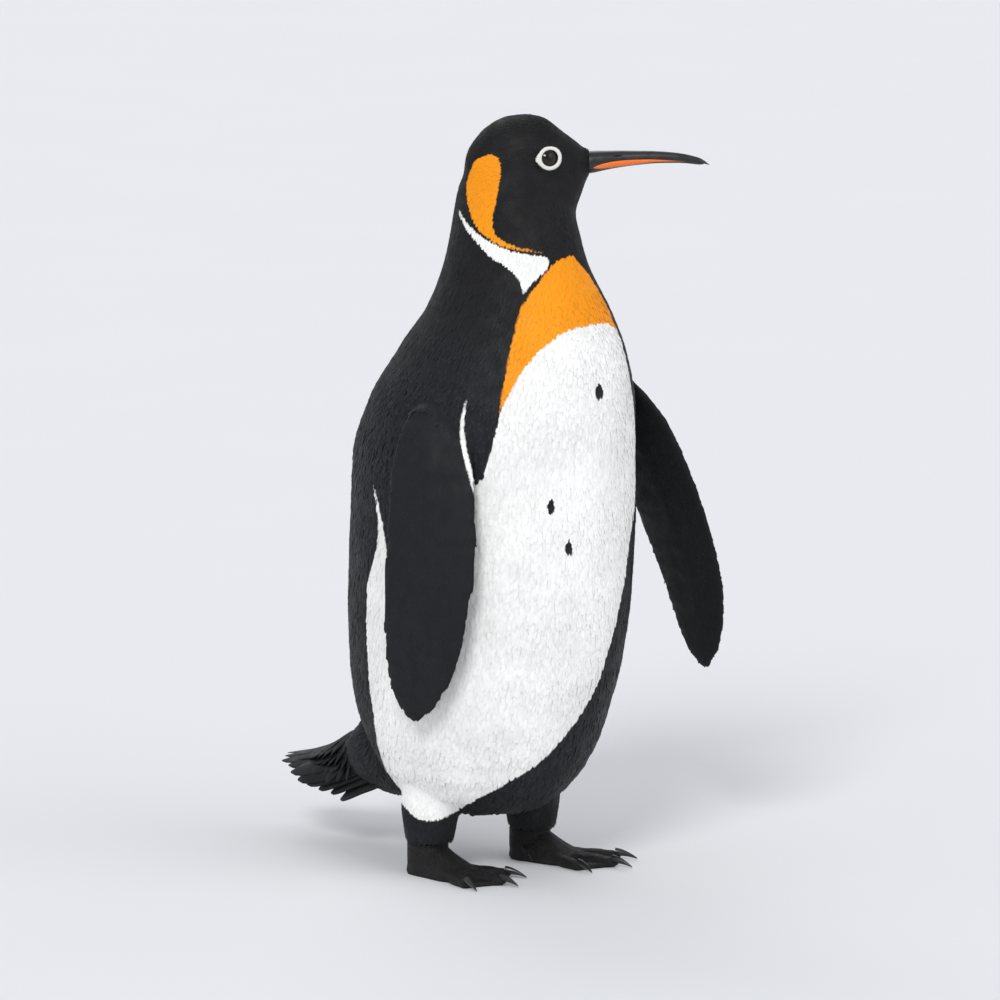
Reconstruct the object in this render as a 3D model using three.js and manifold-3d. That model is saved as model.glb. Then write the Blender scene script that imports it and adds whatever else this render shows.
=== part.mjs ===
// King penguin (Aptenodytes patagonicus), life size, standing, with its head turned to its left.
// Millimetres, +Z up. The breast faces -Y and the bird's right side is towards -X.
// The body is modelled whole and parted with thin cuts. Each node is one closed body.

import * as THREE from 'three';
import { mergeVertices } from 'three/addons/utils/BufferGeometryUtils.js';
import Module from 'manifold-3d';

const wasm = await Module();
wasm.setup();

// ---- driving dimensions ----

const GAP = 0.3;                  // clearance between touching nodes
const SEAT_GAP = 0.36;            // the same, kept after the corners of a faceted seat are pushed out

// Body and neck: sections up the body, from the vent to the inside of the skull.
const TRUNK_SEGMENTS = 32;
const TRUNK_STEPS = 23;
const TRUNK = [
  { z: 60, y: 2, side: 16, front: 18, back: 16 },
  { z: 67, y: 2, side: 56, front: 62, back: 58 },
  { z: 90, y: 2, side: 91, front: 102, back: 94 },
  { z: 136, y: 1, side: 121, front: 136, back: 126 },
  { z: 191, y: -1, side: 138, front: 155, back: 150 },
  { z: 246, y: -6, side: 148, front: 165, back: 160 },
  { z: 320, y: -12, side: 154, front: 170, back: 165 },
  { z: 400, y: -17, side: 156, front: 170, back: 165 },
  { z: 480, y: -23, side: 153, front: 164, back: 168 },
  { z: 540, y: -35, side: 143, front: 155, back: 158 },
  { z: 604, y: -50, side: 116, front: 137, back: 132 },
  { z: 650, y: -56, side: 93, front: 116, back: 105 },
  { z: 700, y: -53, side: 73, front: 92, back: 84 },
  { z: 745, y: -52, side: 63, front: 79, back: 75 },
  { z: 785, y: -52, side: 55, front: 60, back: 69 },
  { z: 820, y: -52, side: 32, front: 30, back: 42 },
];

// Head: sections along its own forward axis, from the nape to the feathered base of the bill.
const HEAD_CENTRE = new THREE.Vector3(16, -64, 813);
const HEAD_TURN = -45;            // degrees about Z; -90 would look straight ahead
const HEAD_LIFT = 5;              // degrees that the bill is raised
const HEAD_SEGMENTS = 24;
const HEAD_STEPS = 20;
const HEAD = [
  { x: -77, z: -15, side: 6, up: 7, down: 9 },
  { x: -75, z: -14.5, side: 15, up: 17.5, down: 21 },
  { x: -70, z: -12.8, side: 25, up: 29, down: 34 },
  { x: -60, z: -9, side: 33.5, up: 38.5, down: 42.5 },
  { x: -46, z: -4.5, side: 39.8, up: 46, down: 48.8 },
  { x: -28, z: -1.2, side: 43.8, up: 50.8, down: 51.6 },
  { x: -10, z: 0, side: 45, up: 52.6, down: 52.3 },
  { x: 6, z: 0, side: 44, up: 51.4, down: 50.8 },
  { x: 18, z: -0.8, side: 41.5, up: 47.6, down: 48.2 },
  { x: 30, z: -2.2, side: 36.8, up: 40.8, down: 43 },
  { x: 42, z: -4.2, side: 29.8, up: 32, down: 35.2 },
  { x: 52, z: -6, side: 22.8, up: 24, down: 26.8 },
  { x: 60, z: -7.8, side: 17.2, up: 17.6, down: 19.6 },
  { x: 66, z: -9, side: 13.5, up: 14.4, down: 15.5 },
];
const THROAT = { x: 13, z: -46, length: 68, side: 39, height: 35, tilt: 54 };
const HEAD_NECK_CUT = { z: 756, tilt: 24 };
const NECK_TORSO_CUT = { z: 655, tilt: 8 };

// Eye, with the ring of its lids.
const EYE = { x: 21, side: 32, z: 4, radius: 9.6 };
const LID = { radius: 9.3, thickness: 2.1, side: 39.2, turn: 14 };

// Bill: along the head's forward axis from the end of the feathers.
const BILL_BASE = 66 + GAP;
const BILL_TIP = 198;
const LOWER_BILL_TIP = 192;
const BILL_STEPS = 13;
const BILL_ARC_STEPS = 8;
const BILL_FLAT_STEPS = 4;
const BILL = [
  { x: 66, gape: -9, culmen: 12.5, keel: 12.5, side: 12 },
  { x: 92, gape: -8.5, culmen: 10, keel: 9.6, side: 9 },
  { x: 127, gape: -9.5, culmen: 7.8, keel: 7, side: 6.7 },
  { x: 162, gape: -13.5, culmen: 6.6, keel: 4.8, side: 4.9 },
  { x: 186, gape: -19.5, culmen: 5.2, keel: 2.8, side: 3.3 },
  { x: 198, gape: -24, culmen: 1.6, keel: 0.8, side: 1.2 },
];
const BILL_PLATE = { start: 67.5, end: 170, lift: 1.4, seat: SEAT_GAP, edge: 1.2, minSide: 1.2 };
const NOSTRIL = { x: 97, length: 11, height: 1.3, depth: 2.6, rise: 4.4 };
const GAPE_LINE = { start: 49, height: 0.9, inner: 10.5, outer: 34 };

// Golden patch on each side of the head, seen from the side, in the head's own axes.
const EAR_PATCH = { depth: 20, top: 10, centre: -51, width: 15, tail: -62, tailX: -28 };

// Golden patch on the upper breast and the white of the belly, seen from the front.
const BREAST_PATCH = { peak: 706, shoulder: 660, tip: 548, arch: 632, half: 62, tipHalf: 99, depth: -112 };
const BELLY = { waist: 430, waistHalf: 122, flank: 352, reach: 220, bottom: 20, depth: 28 };

// Flipper: a curved blade. Each spine runs from inside the shoulder to the tip.
const FLIPPER_STEPS = 14;
const FLIPPER_SEGMENTS = 12;
const FLIPPER_BLADE = [
  { t: 0, width: 27, thickness: 12, shift: 0 },
  { t: 0.08, width: 36, thickness: 12.5, shift: -1 },
  { t: 0.28, width: 51, thickness: 10.5, shift: -3 },
  { t: 0.5, width: 54, thickness: 8.5, shift: -6 },
  { t: 0.72, width: 48, thickness: 7, shift: -7 },
  { t: 0.88, width: 36, thickness: 5.4, shift: -8 },
  { t: 0.97, width: 19, thickness: 3.4, shift: -7 },
  { t: 1, width: 7, thickness: 1.6, shift: -6 },
];
const FLIPPERS = {
  right: {
    sign: -1,
    turn: 22,
    spine: [[-112, -62, 574], [-147, -76, 510], [-162, -93, 400], [-165, -84, 290], [-158, -60, 194]],
  },
  left: {
    sign: 1,
    turn: 1,
    spine: [[108, -62, 584], [162, -86, 506], [212, -104, 388], [242, -114, 292], [255, -113, 209]],
  },
};

// Legs and feet. Each foot stands at its ankle's place and is turned outwards by its splay.
const ANKLE_HEIGHT = 36;
const FEET = {
  right: { sign: -1, x: -71, y: 11, splay: -3 },
  left: { sign: 1, x: 71, y: -11, splay: 15 },
};
const LEG_SEGMENTS = 24;
const LEG = [
  { z: ANKLE_HEIGHT + GAP, inset: 0, radius: 25 },
  { z: 46, inset: 0, radius: 28 },
  { z: 62, inset: 1, radius: 31.5 },
  { z: 84, inset: 4, radius: 35 },
  { z: 115, inset: 10, radius: 36 },
  { z: 140, inset: 14, radius: 30 },
];
const INSTEP_SEGMENTS = 16;
const INSTEP = [
  { x: -25, side: 9, height: 14 },
  { x: -19, side: 19, height: 26 },
  { x: -6, side: 25, height: 38 },
  { x: 8, side: 26, height: 38 },
  { x: 24, side: 28, height: 29 },
  { x: 42, side: 30, height: 19 },
  { x: 60, side: 26, height: 12 },
];
const ANKLE = { x: -3, radius: 23.5, bottom: 12 };
const TOES = [
  { name: 'inner', angle: -24, length: 97, radius: 10 },
  { name: 'middle', angle: -1, length: 114, radius: 11 },
  { name: 'outer', angle: 22, length: 103, radius: 10.2 },
];
const TOE = { start: 18, steps: 11, segments: 8, taper: 0.7, knuckle: 0.07, knuckles: 3, squash: 0.86 };
const WEB = { reach: 0.93, notch: 0.98, thickness: 5 };
const HALLUX = { x: 2, side: -20, z: 15, length: 17, radius: 4.6, angle: -40 };
const CLAW = { length: 18, root: 7, radius: 4.6, drop: 6.4, steps: 6, segments: 8 };
const FLOOR_BLOCK = 900;

// Tail: stiff vanes in tiers behind a wedge of coverts.
const TAIL_ROOT = { y: 92, z: 132 };
const TAIL_AIM = { y: 312, z: 84 };
const TAIL_CORE = [
  { t: 0, side: 68, up: 58, down: 68 },
  { t: 0.2, side: 64, up: 50, down: 61 },
  { t: 0.32, side: 56, up: 33, down: 51 },
  { t: 0.42, side: 49, up: 22, down: 42 },
  { t: 0.54, side: 41, up: 12, down: 32 },
  { t: 0.7, side: 25, up: 5, down: 14 },
  { t: 0.8, side: 9, up: 2, down: 4 },
];
const TAIL_TIERS = [
  { count: 8, arch: 62, start: 0.3, reach: 1, lift: 6, drop: 0, width: 10.5, base: 40, tip: 56 },
  { count: 7, arch: 58, start: 0.26, reach: 0.86, lift: -3, drop: 14, width: 11, base: 40, tip: 52 },
  { count: 6, arch: 52, start: 0.16, reach: 0.68, lift: -22, drop: 24, width: 12.5, base: 42, tip: 50 },
];
const VANE = { steps: 6, thickness: 1.5, lengthLoss: 0.26, jitter: 0.03, point: 0.8 };

// ---- materials ----

const finish = (color, roughness) => new THREE.MeshStandardMaterial({ color, roughness, metalness: 0 });
const MATERIALS = {
  black: finish(0x181818, 0.75),
  back: finish(0x2a2e35, 0.75),
  gold: finish(0xfaa10a, 0.7),
  white: finish(0xf7f6f2, 0.8),
  bill: finish(0x151516, 0.35),
  plate: finish(0xff7f18, 0.35),
  eye: finish(0x1c100a, 0.08),
  foot: finish(0x1b1b1c, 0.55),
  claw: finish(0x101011, 0.35),
};

// ---- small tools ----

const radians = THREE.MathUtils.degToRad;
const lerp = THREE.MathUtils.lerp;

// The station at one place of a table, each value on a smooth curve that doesn't overshoot.
function stationAt(table, key, at) {
  const last = table.length - 1;
  let i = 0;
  while (i < last - 1 && at > table[i + 1][key]) i += 1;
  const span = table[i + 1][key] - table[i][key];
  const t = THREE.MathUtils.clamp((at - table[i][key]) / span, 0, 1);
  const station = {};
  for (const name of Object.keys(table[0])) {
    station[name] = smoothValue(table, key, name, i, t);
  }
  station[key] = at;
  return station;
}

function slopeAt(table, key, name, i) {
  const step = (k) => (table[k + 1][name] - table[k][name]) / (table[k + 1][key] - table[k][key]);
  if (i === 0) return step(0);
  if (i === table.length - 1) return step(i - 1);
  const before = step(i - 1);
  const after = step(i);
  if (before * after <= 0) return 0;
  return 2 * before * after / (before + after);
}

function smoothValue(table, key, name, i, t) {
  const span = table[i + 1][key] - table[i][key];
  const start = slopeAt(table, key, name, i) * span;
  const end = slopeAt(table, key, name, i + 1) * span;
  const rise = table[i + 1][name] - table[i][name];
  const low = t * (t - 1) * (t - 1) * start;
  const high = t * t * (t - 1) * end;
  return table[i][name] + rise * t * t * (3 - 2 * t) + low + high;
}

// Stations from end to end of a table, closer together at both ends where a form rounds over.
function stations(table, key, count) {
  const first = table[0][key];
  const last = table.at(-1)[key];
  return Array.from({ length: count }, (_, i) => {
    const even = i / (count - 1);
    const eased = (1 - Math.cos(Math.PI * even)) / 2;
    return stationAt(table, key, lerp(first, last, lerp(even, eased, 0.6)));
  });
}

function ring(count, pointAt) {
  return Array.from({ length: count }, (_, j) => pointAt(2 * Math.PI * j / count));
}

// A closed skin through rings of equal count. Both halves of a ring split their quads alike.
function loft(rings) {
  const count = rings[0].length;
  const points = rings.flat();
  const faces = [];
  for (let i = 0; i < rings.length - 1; i += 1) {
    for (let j = 0; j < count; j += 1) {
      const a = i * count + j;
      const b = i * count + (j + 1) % count;
      const c = a + count;
      const d = b + count;
      if (j < count / 2) faces.push([a, b, d], [a, d, c]);
      else faces.push([a, b, c], [b, d, c]);
    }
  }
  for (const [i, turned] of [[0, true], [rings.length - 1, false]]) {
    const centre = points.length;
    const sum = rings[i].reduce((total, p) => total.add(p), new THREE.Vector3());
    points.push(sum.divideScalar(count));
    for (let j = 0; j < count; j += 1) {
      const a = i * count + j;
      const b = i * count + (j + 1) % count;
      faces.push(turned ? [centre, b, a] : [centre, a, b]);
    }
  }
  return facedOut(points, faces);
}

// A geometry whose faces point out, whichever way its rings ran.
function facedOut(points, faces) {
  const volume = faces.reduce((total, [a, b, c]) => {
    const cross = new THREE.Vector3().crossVectors(points[b], points[c]);
    return total + points[a].dot(cross);
  }, 0);
  const ordered = volume < 0 ? faces.map(([a, b, c]) => [a, c, b]) : faces;
  const geometry = new THREE.BufferGeometry();
  geometry.setAttribute('position', new THREE.Float32BufferAttribute(points.flatMap((p) => p.toArray()), 3));
  geometry.setIndex(ordered.flat());
  return geometry;
}

function welded(geometry) {
  const bare = geometry.clone();
  bare.deleteAttribute('normal');
  bare.deleteAttribute('uv');
  return mergeVertices(bare);
}

function solid(geometry) {
  const merged = welded(geometry);
  const vertProperties = new Float32Array(merged.attributes.position.array);
  const triVerts = new Uint32Array(merged.index.array);
  return new wasm.Manifold(new wasm.Mesh({ numProp: 3, vertProperties, triVerts }));
}

// The same form with its skin pushed out by a distance.
function swollen(geometry, distance) {
  const merged = welded(geometry);
  merged.computeVertexNormals();
  const place = merged.attributes.position;
  const normal = merged.attributes.normal;
  for (let i = 0; i < place.count; i += 1) {
    place.setXYZ(
      i,
      place.getX(i) + normal.getX(i) * distance,
      place.getY(i) + normal.getY(i) * distance,
      place.getZ(i) + normal.getZ(i) * distance,
    );
  }
  return solid(merged);
}

function joined(pieces) {
  return pieces.reduce((whole, piece) => whole.add(piece));
}

function largest(body) {
  return body.decompose().sort((a, b) => b.volume() - a.volume())[0];
}

function block(width, depth, height, matrix) {
  return new THREE.BoxGeometry(width, depth, height).applyMatrix4(matrix);
}

// An outline drawn in X and Z, pushed through from one Y to another.
function prism(outline, fromY, toY) {
  const depth = toY - fromY;
  const geometry = new THREE.ExtrudeGeometry(outline, { depth, bevelEnabled: false, curveSegments: 10 });
  geometry.applyMatrix4(new THREE.Matrix4().makeRotationX(Math.PI / 2));
  geometry.translate(0, toY, 0);
  return geometry;
}

function ellipsoid(centre, lengthX, lengthY, lengthZ, tilt) {
  const geometry = new THREE.SphereGeometry(1, 16, 10);
  geometry.scale(lengthX, lengthY, lengthZ);
  geometry.rotateY(radians(tilt));
  geometry.translate(centre.x, centre.y, centre.z);
  return geometry;
}

// ---- body and neck ----

function trunkRing(s) {
  return ring(TRUNK_SEGMENTS, (angle) => {
    const depth = Math.sin(angle) < 0 ? s.front : s.back;
    return new THREE.Vector3(s.side * Math.cos(angle), s.y + depth * Math.sin(angle), s.z);
  });
}

const trunkForm = loft(stations(TRUNK, 'z', TRUNK_STEPS).map(trunkRing));
const trunkSeat = swollen(trunkForm, SEAT_GAP);

// ---- head, in the bird's frame ----

const headFrame = new THREE.Group();
headFrame.position.copy(HEAD_CENTRE);
headFrame.rotation.set(0, -radians(HEAD_LIFT), radians(HEAD_TURN), 'ZYX');
headFrame.updateMatrixWorld();
const toHead = headFrame.matrixWorld;

const onHead = (geometry) => geometry.clone().applyMatrix4(toHead);

function headRing(s) {
  return ring(HEAD_SEGMENTS, (angle) => {
    const height = Math.sin(angle) < 0 ? s.down : s.up;
    return new THREE.Vector3(s.x, s.side * Math.cos(angle), s.z + height * Math.sin(angle));
  });
}

function eyeForm(side) {
  const geometry = new THREE.SphereGeometry(EYE.radius, 14, 9);
  return geometry.translate(EYE.x, side * EYE.side, EYE.z);
}

function lidForm(side) {
  const geometry = new THREE.TorusGeometry(LID.radius, LID.thickness, 5, 16);
  geometry.rotateX(Math.PI / 2);
  geometry.rotateZ(-side * radians(LID.turn));
  return geometry.translate(EYE.x, side * LID.side, EYE.z);
}

const headForm = loft(stations(HEAD, 'x', HEAD_STEPS).map(headRing));
const throatCentre = new THREE.Vector3(THROAT.x, 0, THROAT.z);
const throatForm = ellipsoid(throatCentre, THROAT.length, THROAT.side, THROAT.height, -THROAT.tilt);

function fleshWhole() {
  const lids = [1, -1].map((side) => solid(onHead(lidForm(side))));
  const forms = [trunkForm, onHead(headForm), onHead(throatForm)];
  return joined([...forms.map(solid), ...lids]);
}

// A thin slab across the neck that parts what lies above it from what lies below.
function crossCut(cut, turn) {
  const matrix = new THREE.Matrix4().makeRotationZ(turn);
  matrix.multiply(new THREE.Matrix4().makeRotationY(radians(cut.tilt)));
  matrix.setPosition(0, -52, cut.z);
  return solid(block(400, 400, GAP, matrix));
}

// ---- bill ----

// Half an oval over a flat: the section of a mandible, above the gape or below it.
function billRing(s, flatZ, height) {
  const arc = Array.from({ length: BILL_ARC_STEPS + 1 }, (_, j) => {
    const angle = Math.PI * j / BILL_ARC_STEPS;
    return new THREE.Vector3(s.x, s.side * Math.cos(angle), flatZ + height * Math.sin(angle));
  });
  const flat = Array.from({ length: BILL_FLAT_STEPS - 1 }, (_, j) => {
    const across = lerp(-s.side, s.side, (j + 1) / BILL_FLAT_STEPS);
    return new THREE.Vector3(s.x, across, flatZ);
  });
  return [...arc, ...flat];
}

function billStations(tip) {
  return Array.from({ length: BILL_STEPS }, (_, i) => {
    const even = i / (BILL_STEPS - 1);
    return stationAt(BILL, 'x', lerp(BILL_BASE, tip, Math.sin(even * Math.PI / 2)));
  });
}

const upperBillForm = loft(billStations(BILL_TIP).map((s) => billRing(s, s.gape, s.culmen)));
const lowerBillForm = loft(billStations(LOWER_BILL_TIP).map((s) => billRing(s, s.gape - GAP, -s.keel)));

function nostrilForm(side) {
  const s = stationAt(BILL, 'x', NOSTRIL.x);
  const matrix = new THREE.Matrix4().makeRotationY(radians(3));
  matrix.setPosition(NOSTRIL.x, side * s.side, s.gape + NOSTRIL.rise);
  return block(NOSTRIL.length, NOSTRIL.depth, NOSTRIL.height, matrix);
}

// The coloured plate lies along the side of the lower mandible and narrows to both ends.
function billPlate(side) {
  const outline = new THREE.Shape();
  const steps = 12;
  const edge = (k, lower) => {
    const x = lerp(BILL_PLATE.start, BILL_PLATE.end, k / steps);
    const s = stationAt(BILL, 'x', x);
    const swell = Math.sin(Math.PI * Math.pow(k / steps, 0.7));
    const middle = s.gape - GAP - s.keel * 0.42;
    const reach = (s.keel * 0.42 - BILL_PLATE.edge * 0.5) * swell;
    return [x, lower ? middle - reach : middle + reach];
  };
  outline.moveTo(...edge(0, false));
  for (let k = 1; k <= steps; k += 1) outline.lineTo(...edge(k, false));
  for (let k = steps - 1; k > 0; k -= 1) outline.lineTo(...edge(k, true));
  const [from, to] = side > 0 ? [BILL_PLATE.minSide, 30] : [-30, -BILL_PLATE.minSide];
  const window = solid(onHead(prism(outline, from, to)));
  const outer = swollen(onHead(lowerBillForm), BILL_PLATE.lift);
  const inner = swollen(onHead(lowerBillForm), BILL_PLATE.seat);
  return largest(outer.subtract(inner).intersect(window));
}

function gapeCuts() {
  const gape = BILL[0].gape;
  return [1, -1].map((side) => {
    const length = BILL_BASE + 1 - GAPE_LINE.start;
    const matrix = new THREE.Matrix4();
    const across = side * (GAPE_LINE.inner + GAPE_LINE.outer) / 2;
    matrix.setPosition(GAPE_LINE.start + length / 2, across, gape - GAP / 2);
    return solid(onHead(block(length, GAPE_LINE.outer - GAPE_LINE.inner, GAPE_LINE.height, matrix)));
  });
}

// ---- patches of colour ----

function earPatchOutline() {
  const e = EAR_PATCH;
  const left = e.centre - e.width;
  const right = e.centre + e.width;
  const outline = new THREE.Shape();
  outline.moveTo(e.centre, e.top);
  outline.bezierCurveTo(right, e.top, right, -20, e.tailX, e.tail);
  outline.bezierCurveTo(e.centre - 4, e.tail + 14, left, -26, left, -4);
  outline.bezierCurveTo(left, e.top - 6, e.centre - 8, e.top, e.centre, e.top);
  return outline;
}

function breastOutline() {
  const b = BREAST_PATCH;
  const outline = new THREE.Shape();
  outline.moveTo(0, b.peak);
  outline.bezierCurveTo(26, b.peak, 40, b.shoulder + 14, b.half, b.shoulder);
  outline.quadraticCurveTo(88, 604, b.tipHalf, b.tip);
  outline.bezierCurveTo(66, b.arch - 14, 30, b.arch, 0, b.arch);
  outline.bezierCurveTo(-30, b.arch, -66, b.arch - 14, -b.tipHalf, b.tip);
  outline.quadraticCurveTo(-88, 604, -b.half, b.shoulder);
  outline.bezierCurveTo(-40, b.shoulder + 14, -26, b.peak, 0, b.peak);
  return outline;
}

function bellyOutline() {
  const b = BELLY;
  const p = BREAST_PATCH;
  const corners = [[p.tipHalf, p.tip], [b.waistHalf, b.waist], [b.reach, b.flank], [b.reach, b.bottom]];
  const mirrored = corners.map(([x, z]) => [-x, z]).reverse();
  const top = [[0, p.arch + 20], [p.half, p.arch - 6]];
  const points = [...top, ...corners, ...mirrored, [-p.half, p.arch - 6]];
  return new THREE.Shape(points.map(([x, z]) => new THREE.Vector2(x, z)));
}

// The outline's points, each moved out to keep a distance from both edges that meet there.
function grownPoints(outline, grow) {
  const points = outline.getPoints(10);
  if (points[0].distanceTo(points.at(-1)) < 1e-6) points.pop();
  const sense = Math.sign(THREE.ShapeUtils.area(points));
  const count = points.length;
  const outwards = (from, to) => {
    const edge = new THREE.Vector2().subVectors(to, from).normalize();
    return new THREE.Vector2(edge.y, -edge.x).multiplyScalar(sense);
  };
  return points.map((point, i) => {
    const before = outwards(points[(i + count - 1) % count], point);
    const after = outwards(point, points[(i + 1) % count]);
    const mitre = new THREE.Vector2().addVectors(before, after).normalize();
    return point.clone().addScaledVector(mitre, grow / Math.max(0.3, mitre.dot(before)));
  });
}

function patchWindow(outline, fromY, toY, grow) {
  return prism(new THREE.Shape(grownPoints(outline, grow)), fromY, toY);
}

function earPatchWindow(side, grow) {
  const inner = EAR_PATCH.depth - grow;
  const [from, to] = side > 0 ? [inner, 80] : [-80, -inner];
  return solid(onHead(patchWindow(earPatchOutline(), from, to, grow)));
}

function breastWindow(grow) {
  return solid(patchWindow(breastOutline(), -400, BREAST_PATCH.depth + grow, grow));
}

function bellyWindow(grow) {
  return solid(patchWindow(bellyOutline(), -400, BELLY.depth + grow, grow));
}

// ---- flippers ----

function flipperForm({ sign, turn, spine }) {
  const curve = new THREE.CatmullRomCurve3(spine.map((p) => new THREE.Vector3(...p)));
  const width = new THREE.Vector3(Math.sin(radians(turn)), -Math.cos(radians(turn)), 0);
  const rings = stations(FLIPPER_BLADE, 't', FLIPPER_STEPS).map((s) => {
    const centre = curve.getPointAt(Math.min(1, Math.max(0, s.t)));
    const along = curve.getTangentAt(Math.min(1, Math.max(0, s.t)));
    const lead = width.clone().addScaledVector(along, -width.dot(along)).normalize();
    const normal = new THREE.Vector3().crossVectors(along, lead).multiplyScalar(sign);
    centre.addScaledVector(lead, s.shift);
    return ring(FLIPPER_SEGMENTS, (angle) => {
      const across = s.width * Math.cos(angle);
      const edge = 1 - 0.35 * Math.cos(angle) ** 2;
      const out = s.thickness * Math.sin(angle) * edge;
      return centre.clone().addScaledVector(lead, across).addScaledVector(normal, out);
    });
  });
  return loft(rings);
}

// ---- legs and feet ----

function footFrame({ x, y, sign, splay }) {
  const frame = new THREE.Group();
  frame.position.set(x, y, 0);
  frame.rotation.z = -Math.PI / 2 + sign * radians(splay);
  frame.updateMatrixWorld();
  return frame;
}

function legForm({ sign, x, y }) {
  const rings = stations(LEG, 'z', 10).map((s) => ring(LEG_SEGMENTS, (angle) => new THREE.Vector3(
    x - sign * s.inset + s.radius * Math.cos(angle),
    y + s.radius * 1.04 * Math.sin(angle),
    s.z,
  )));
  return loft(rings);
}

function instepForm() {
  return loft(stations(INSTEP, 'x', 11).map((s) => ring(INSTEP_SEGMENTS, (angle) => {
    const rise = Math.sin(angle) < 0 ? 3 : s.height;
    return new THREE.Vector3(s.x, s.side * Math.cos(angle), rise * Math.sin(angle));
  })));
}

function ankleForm() {
  return loft([ANKLE.bottom, 24, ANKLE_HEIGHT].map((z) => ring(LEG_SEGMENTS, (angle) => {
    return new THREE.Vector3(ANKLE.x + ANKLE.radius * Math.cos(angle), ANKLE.radius * Math.sin(angle), z);
  })));
}

// A toe lies along its own line, swollen at each pad, with a rounded end that holds the claw.
function toeForm(toe, outward) {
  const line = new THREE.Vector3(Math.cos(radians(toe.angle)), outward * Math.sin(radians(toe.angle)), 0);
  const across = new THREE.Vector3(-line.y, line.x, 0);
  const rings = Array.from({ length: TOE.steps }, (_, i) => {
    const t = i / (TOE.steps - 1);
    const end = Math.sqrt(Math.max(0.06, 1 - Math.max(0, (t - 0.86) / 0.14) ** 2));
    const pad = 1 + TOE.knuckle * Math.cos(2 * Math.PI * TOE.knuckles * t);
    const radius = toe.radius * lerp(1, TOE.taper, t) * pad * end;
    const middle = toe.radius * lerp(1, TOE.taper, t) * TOE.squash * 0.72;
    return ring(TOE.segments, (angle) => {
      const point = line.clone().multiplyScalar(lerp(TOE.start, toe.length, t));
      point.addScaledVector(across, radius * Math.cos(angle));
      point.z = middle + radius * TOE.squash * Math.sin(angle);
      return point;
    });
  });
  return loft(rings);
}

function clawForm(tip, direction, size) {
  const across = new THREE.Vector3(-direction.y, direction.x, 0);
  const rings = Array.from({ length: CLAW.steps }, (_, i) => {
    const t = i / (CLAW.steps - 1);
    const radius = size * CLAW.radius * (1 - 0.84 * t ** 1.3);
    const centre = tip.clone().addScaledVector(direction, size * lerp(-CLAW.root, CLAW.length, t));
    centre.z -= size * CLAW.drop * t * t;
    return ring(CLAW.segments, (angle) => {
      const point = centre.clone().addScaledVector(across, radius * 0.8 * Math.cos(angle));
      point.z += radius * Math.sin(angle);
      return point;
    });
  });
  return loft(rings);
}

// The skin between two toes, with a hollowed front edge.
function webForm(first, second, outward) {
  const at = (toe, share) => {
    const reach = toe.length * share;
    return [reach * Math.cos(radians(toe.angle)), outward * reach * Math.sin(radians(toe.angle))];
  };
  const middle = { angle: (first.angle + second.angle) / 2, length: (first.length + second.length) / 2 };
  const outline = new THREE.Shape();
  outline.moveTo(...at(first, 0.12));
  outline.lineTo(...at(first, WEB.reach));
  outline.quadraticCurveTo(...at(middle, WEB.reach * WEB.notch), ...at(second, WEB.reach));
  outline.lineTo(...at(second, 0.12));
  const options = { depth: WEB.thickness + 2, bevelEnabled: false, curveSegments: 6 };
  return new THREE.ExtrudeGeometry(outline, options).translate(0, 0, -2);
}

function halluxForm(outward) {
  const h = HALLUX;
  const start = new THREE.Vector3(h.x, outward * h.side, h.z);
  const aim = radians(h.angle);
  const direction = new THREE.Vector3(Math.cos(aim), outward * Math.sin(aim), -0.28).normalize();
  const across = new THREE.Vector3(-direction.y, direction.x, 0).normalize();
  const rise = new THREE.Vector3().crossVectors(direction, across);
  const rings = Array.from({ length: 6 }, (_, i) => {
    const t = i / 5;
    const radius = h.radius * (t < 1 ? 1 : 0.55);
    const centre = start.clone().addScaledVector(direction, h.length * t);
    return ring(10, (angle) => centre.clone()
      .addScaledVector(across, radius * Math.cos(angle))
      .addScaledVector(rise, radius * Math.sin(angle)));
  });
  return { form: loft(rings), tip: start.addScaledVector(direction, h.length), direction };
}

function footParts(place, outward) {
  const frame = footFrame(place);
  const placed = (geometry) => geometry.clone().applyMatrix4(frame.matrixWorld);
  const hallux = halluxForm(outward);
  const claws = TOES.map((toe) => {
    const line = new THREE.Vector3(Math.cos(radians(toe.angle)), outward * Math.sin(radians(toe.angle)), 0);
    const tip = line.clone().multiplyScalar(toe.length).setZ(toe.radius * 0.82);
    return { name: toe.name, form: placed(clawForm(tip, line, 1)) };
  });
  claws.push({ name: 'hind', form: placed(clawForm(hallux.tip, hallux.direction, 0.55)) });
  const flesh = [instepForm(), ankleForm(), hallux.form, ...TOES.map((toe) => toeForm(toe, outward))];
  flesh.push(webForm(TOES[0], TOES[1], outward), webForm(TOES[1], TOES[2], outward));
  const below = new THREE.Matrix4().makeTranslation(0, 0, -FLOOR_BLOCK / 2);
  const above = new THREE.Matrix4().makeTranslation(0, 0, ANKLE_HEIGHT + FLOOR_BLOCK / 2);
  let body = joined(flesh.map((form) => solid(placed(form))));
  body = body.subtract(solid(block(FLOOR_BLOCK, FLOOR_BLOCK, FLOOR_BLOCK, below)));
  body = body.subtract(solid(block(FLOOR_BLOCK, FLOOR_BLOCK, FLOOR_BLOCK, above)));
  for (const claw of claws) body = body.subtract(swollen(claw.form, SEAT_GAP));
  return { frame, body: largest(body), claws };
}

// ---- tail ----

const tailAxis = new THREE.Vector3(0, TAIL_AIM.y - TAIL_ROOT.y, TAIL_AIM.z - TAIL_ROOT.z);
const tailLength = tailAxis.length();
tailAxis.normalize();
const tailRise = new THREE.Vector3(0, -tailAxis.z, tailAxis.y);

function tailPoint(along, across, up) {
  return new THREE.Vector3(across, TAIL_ROOT.y, TAIL_ROOT.z)
    .addScaledVector(tailAxis, along)
    .addScaledVector(tailRise, up);
}

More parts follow.
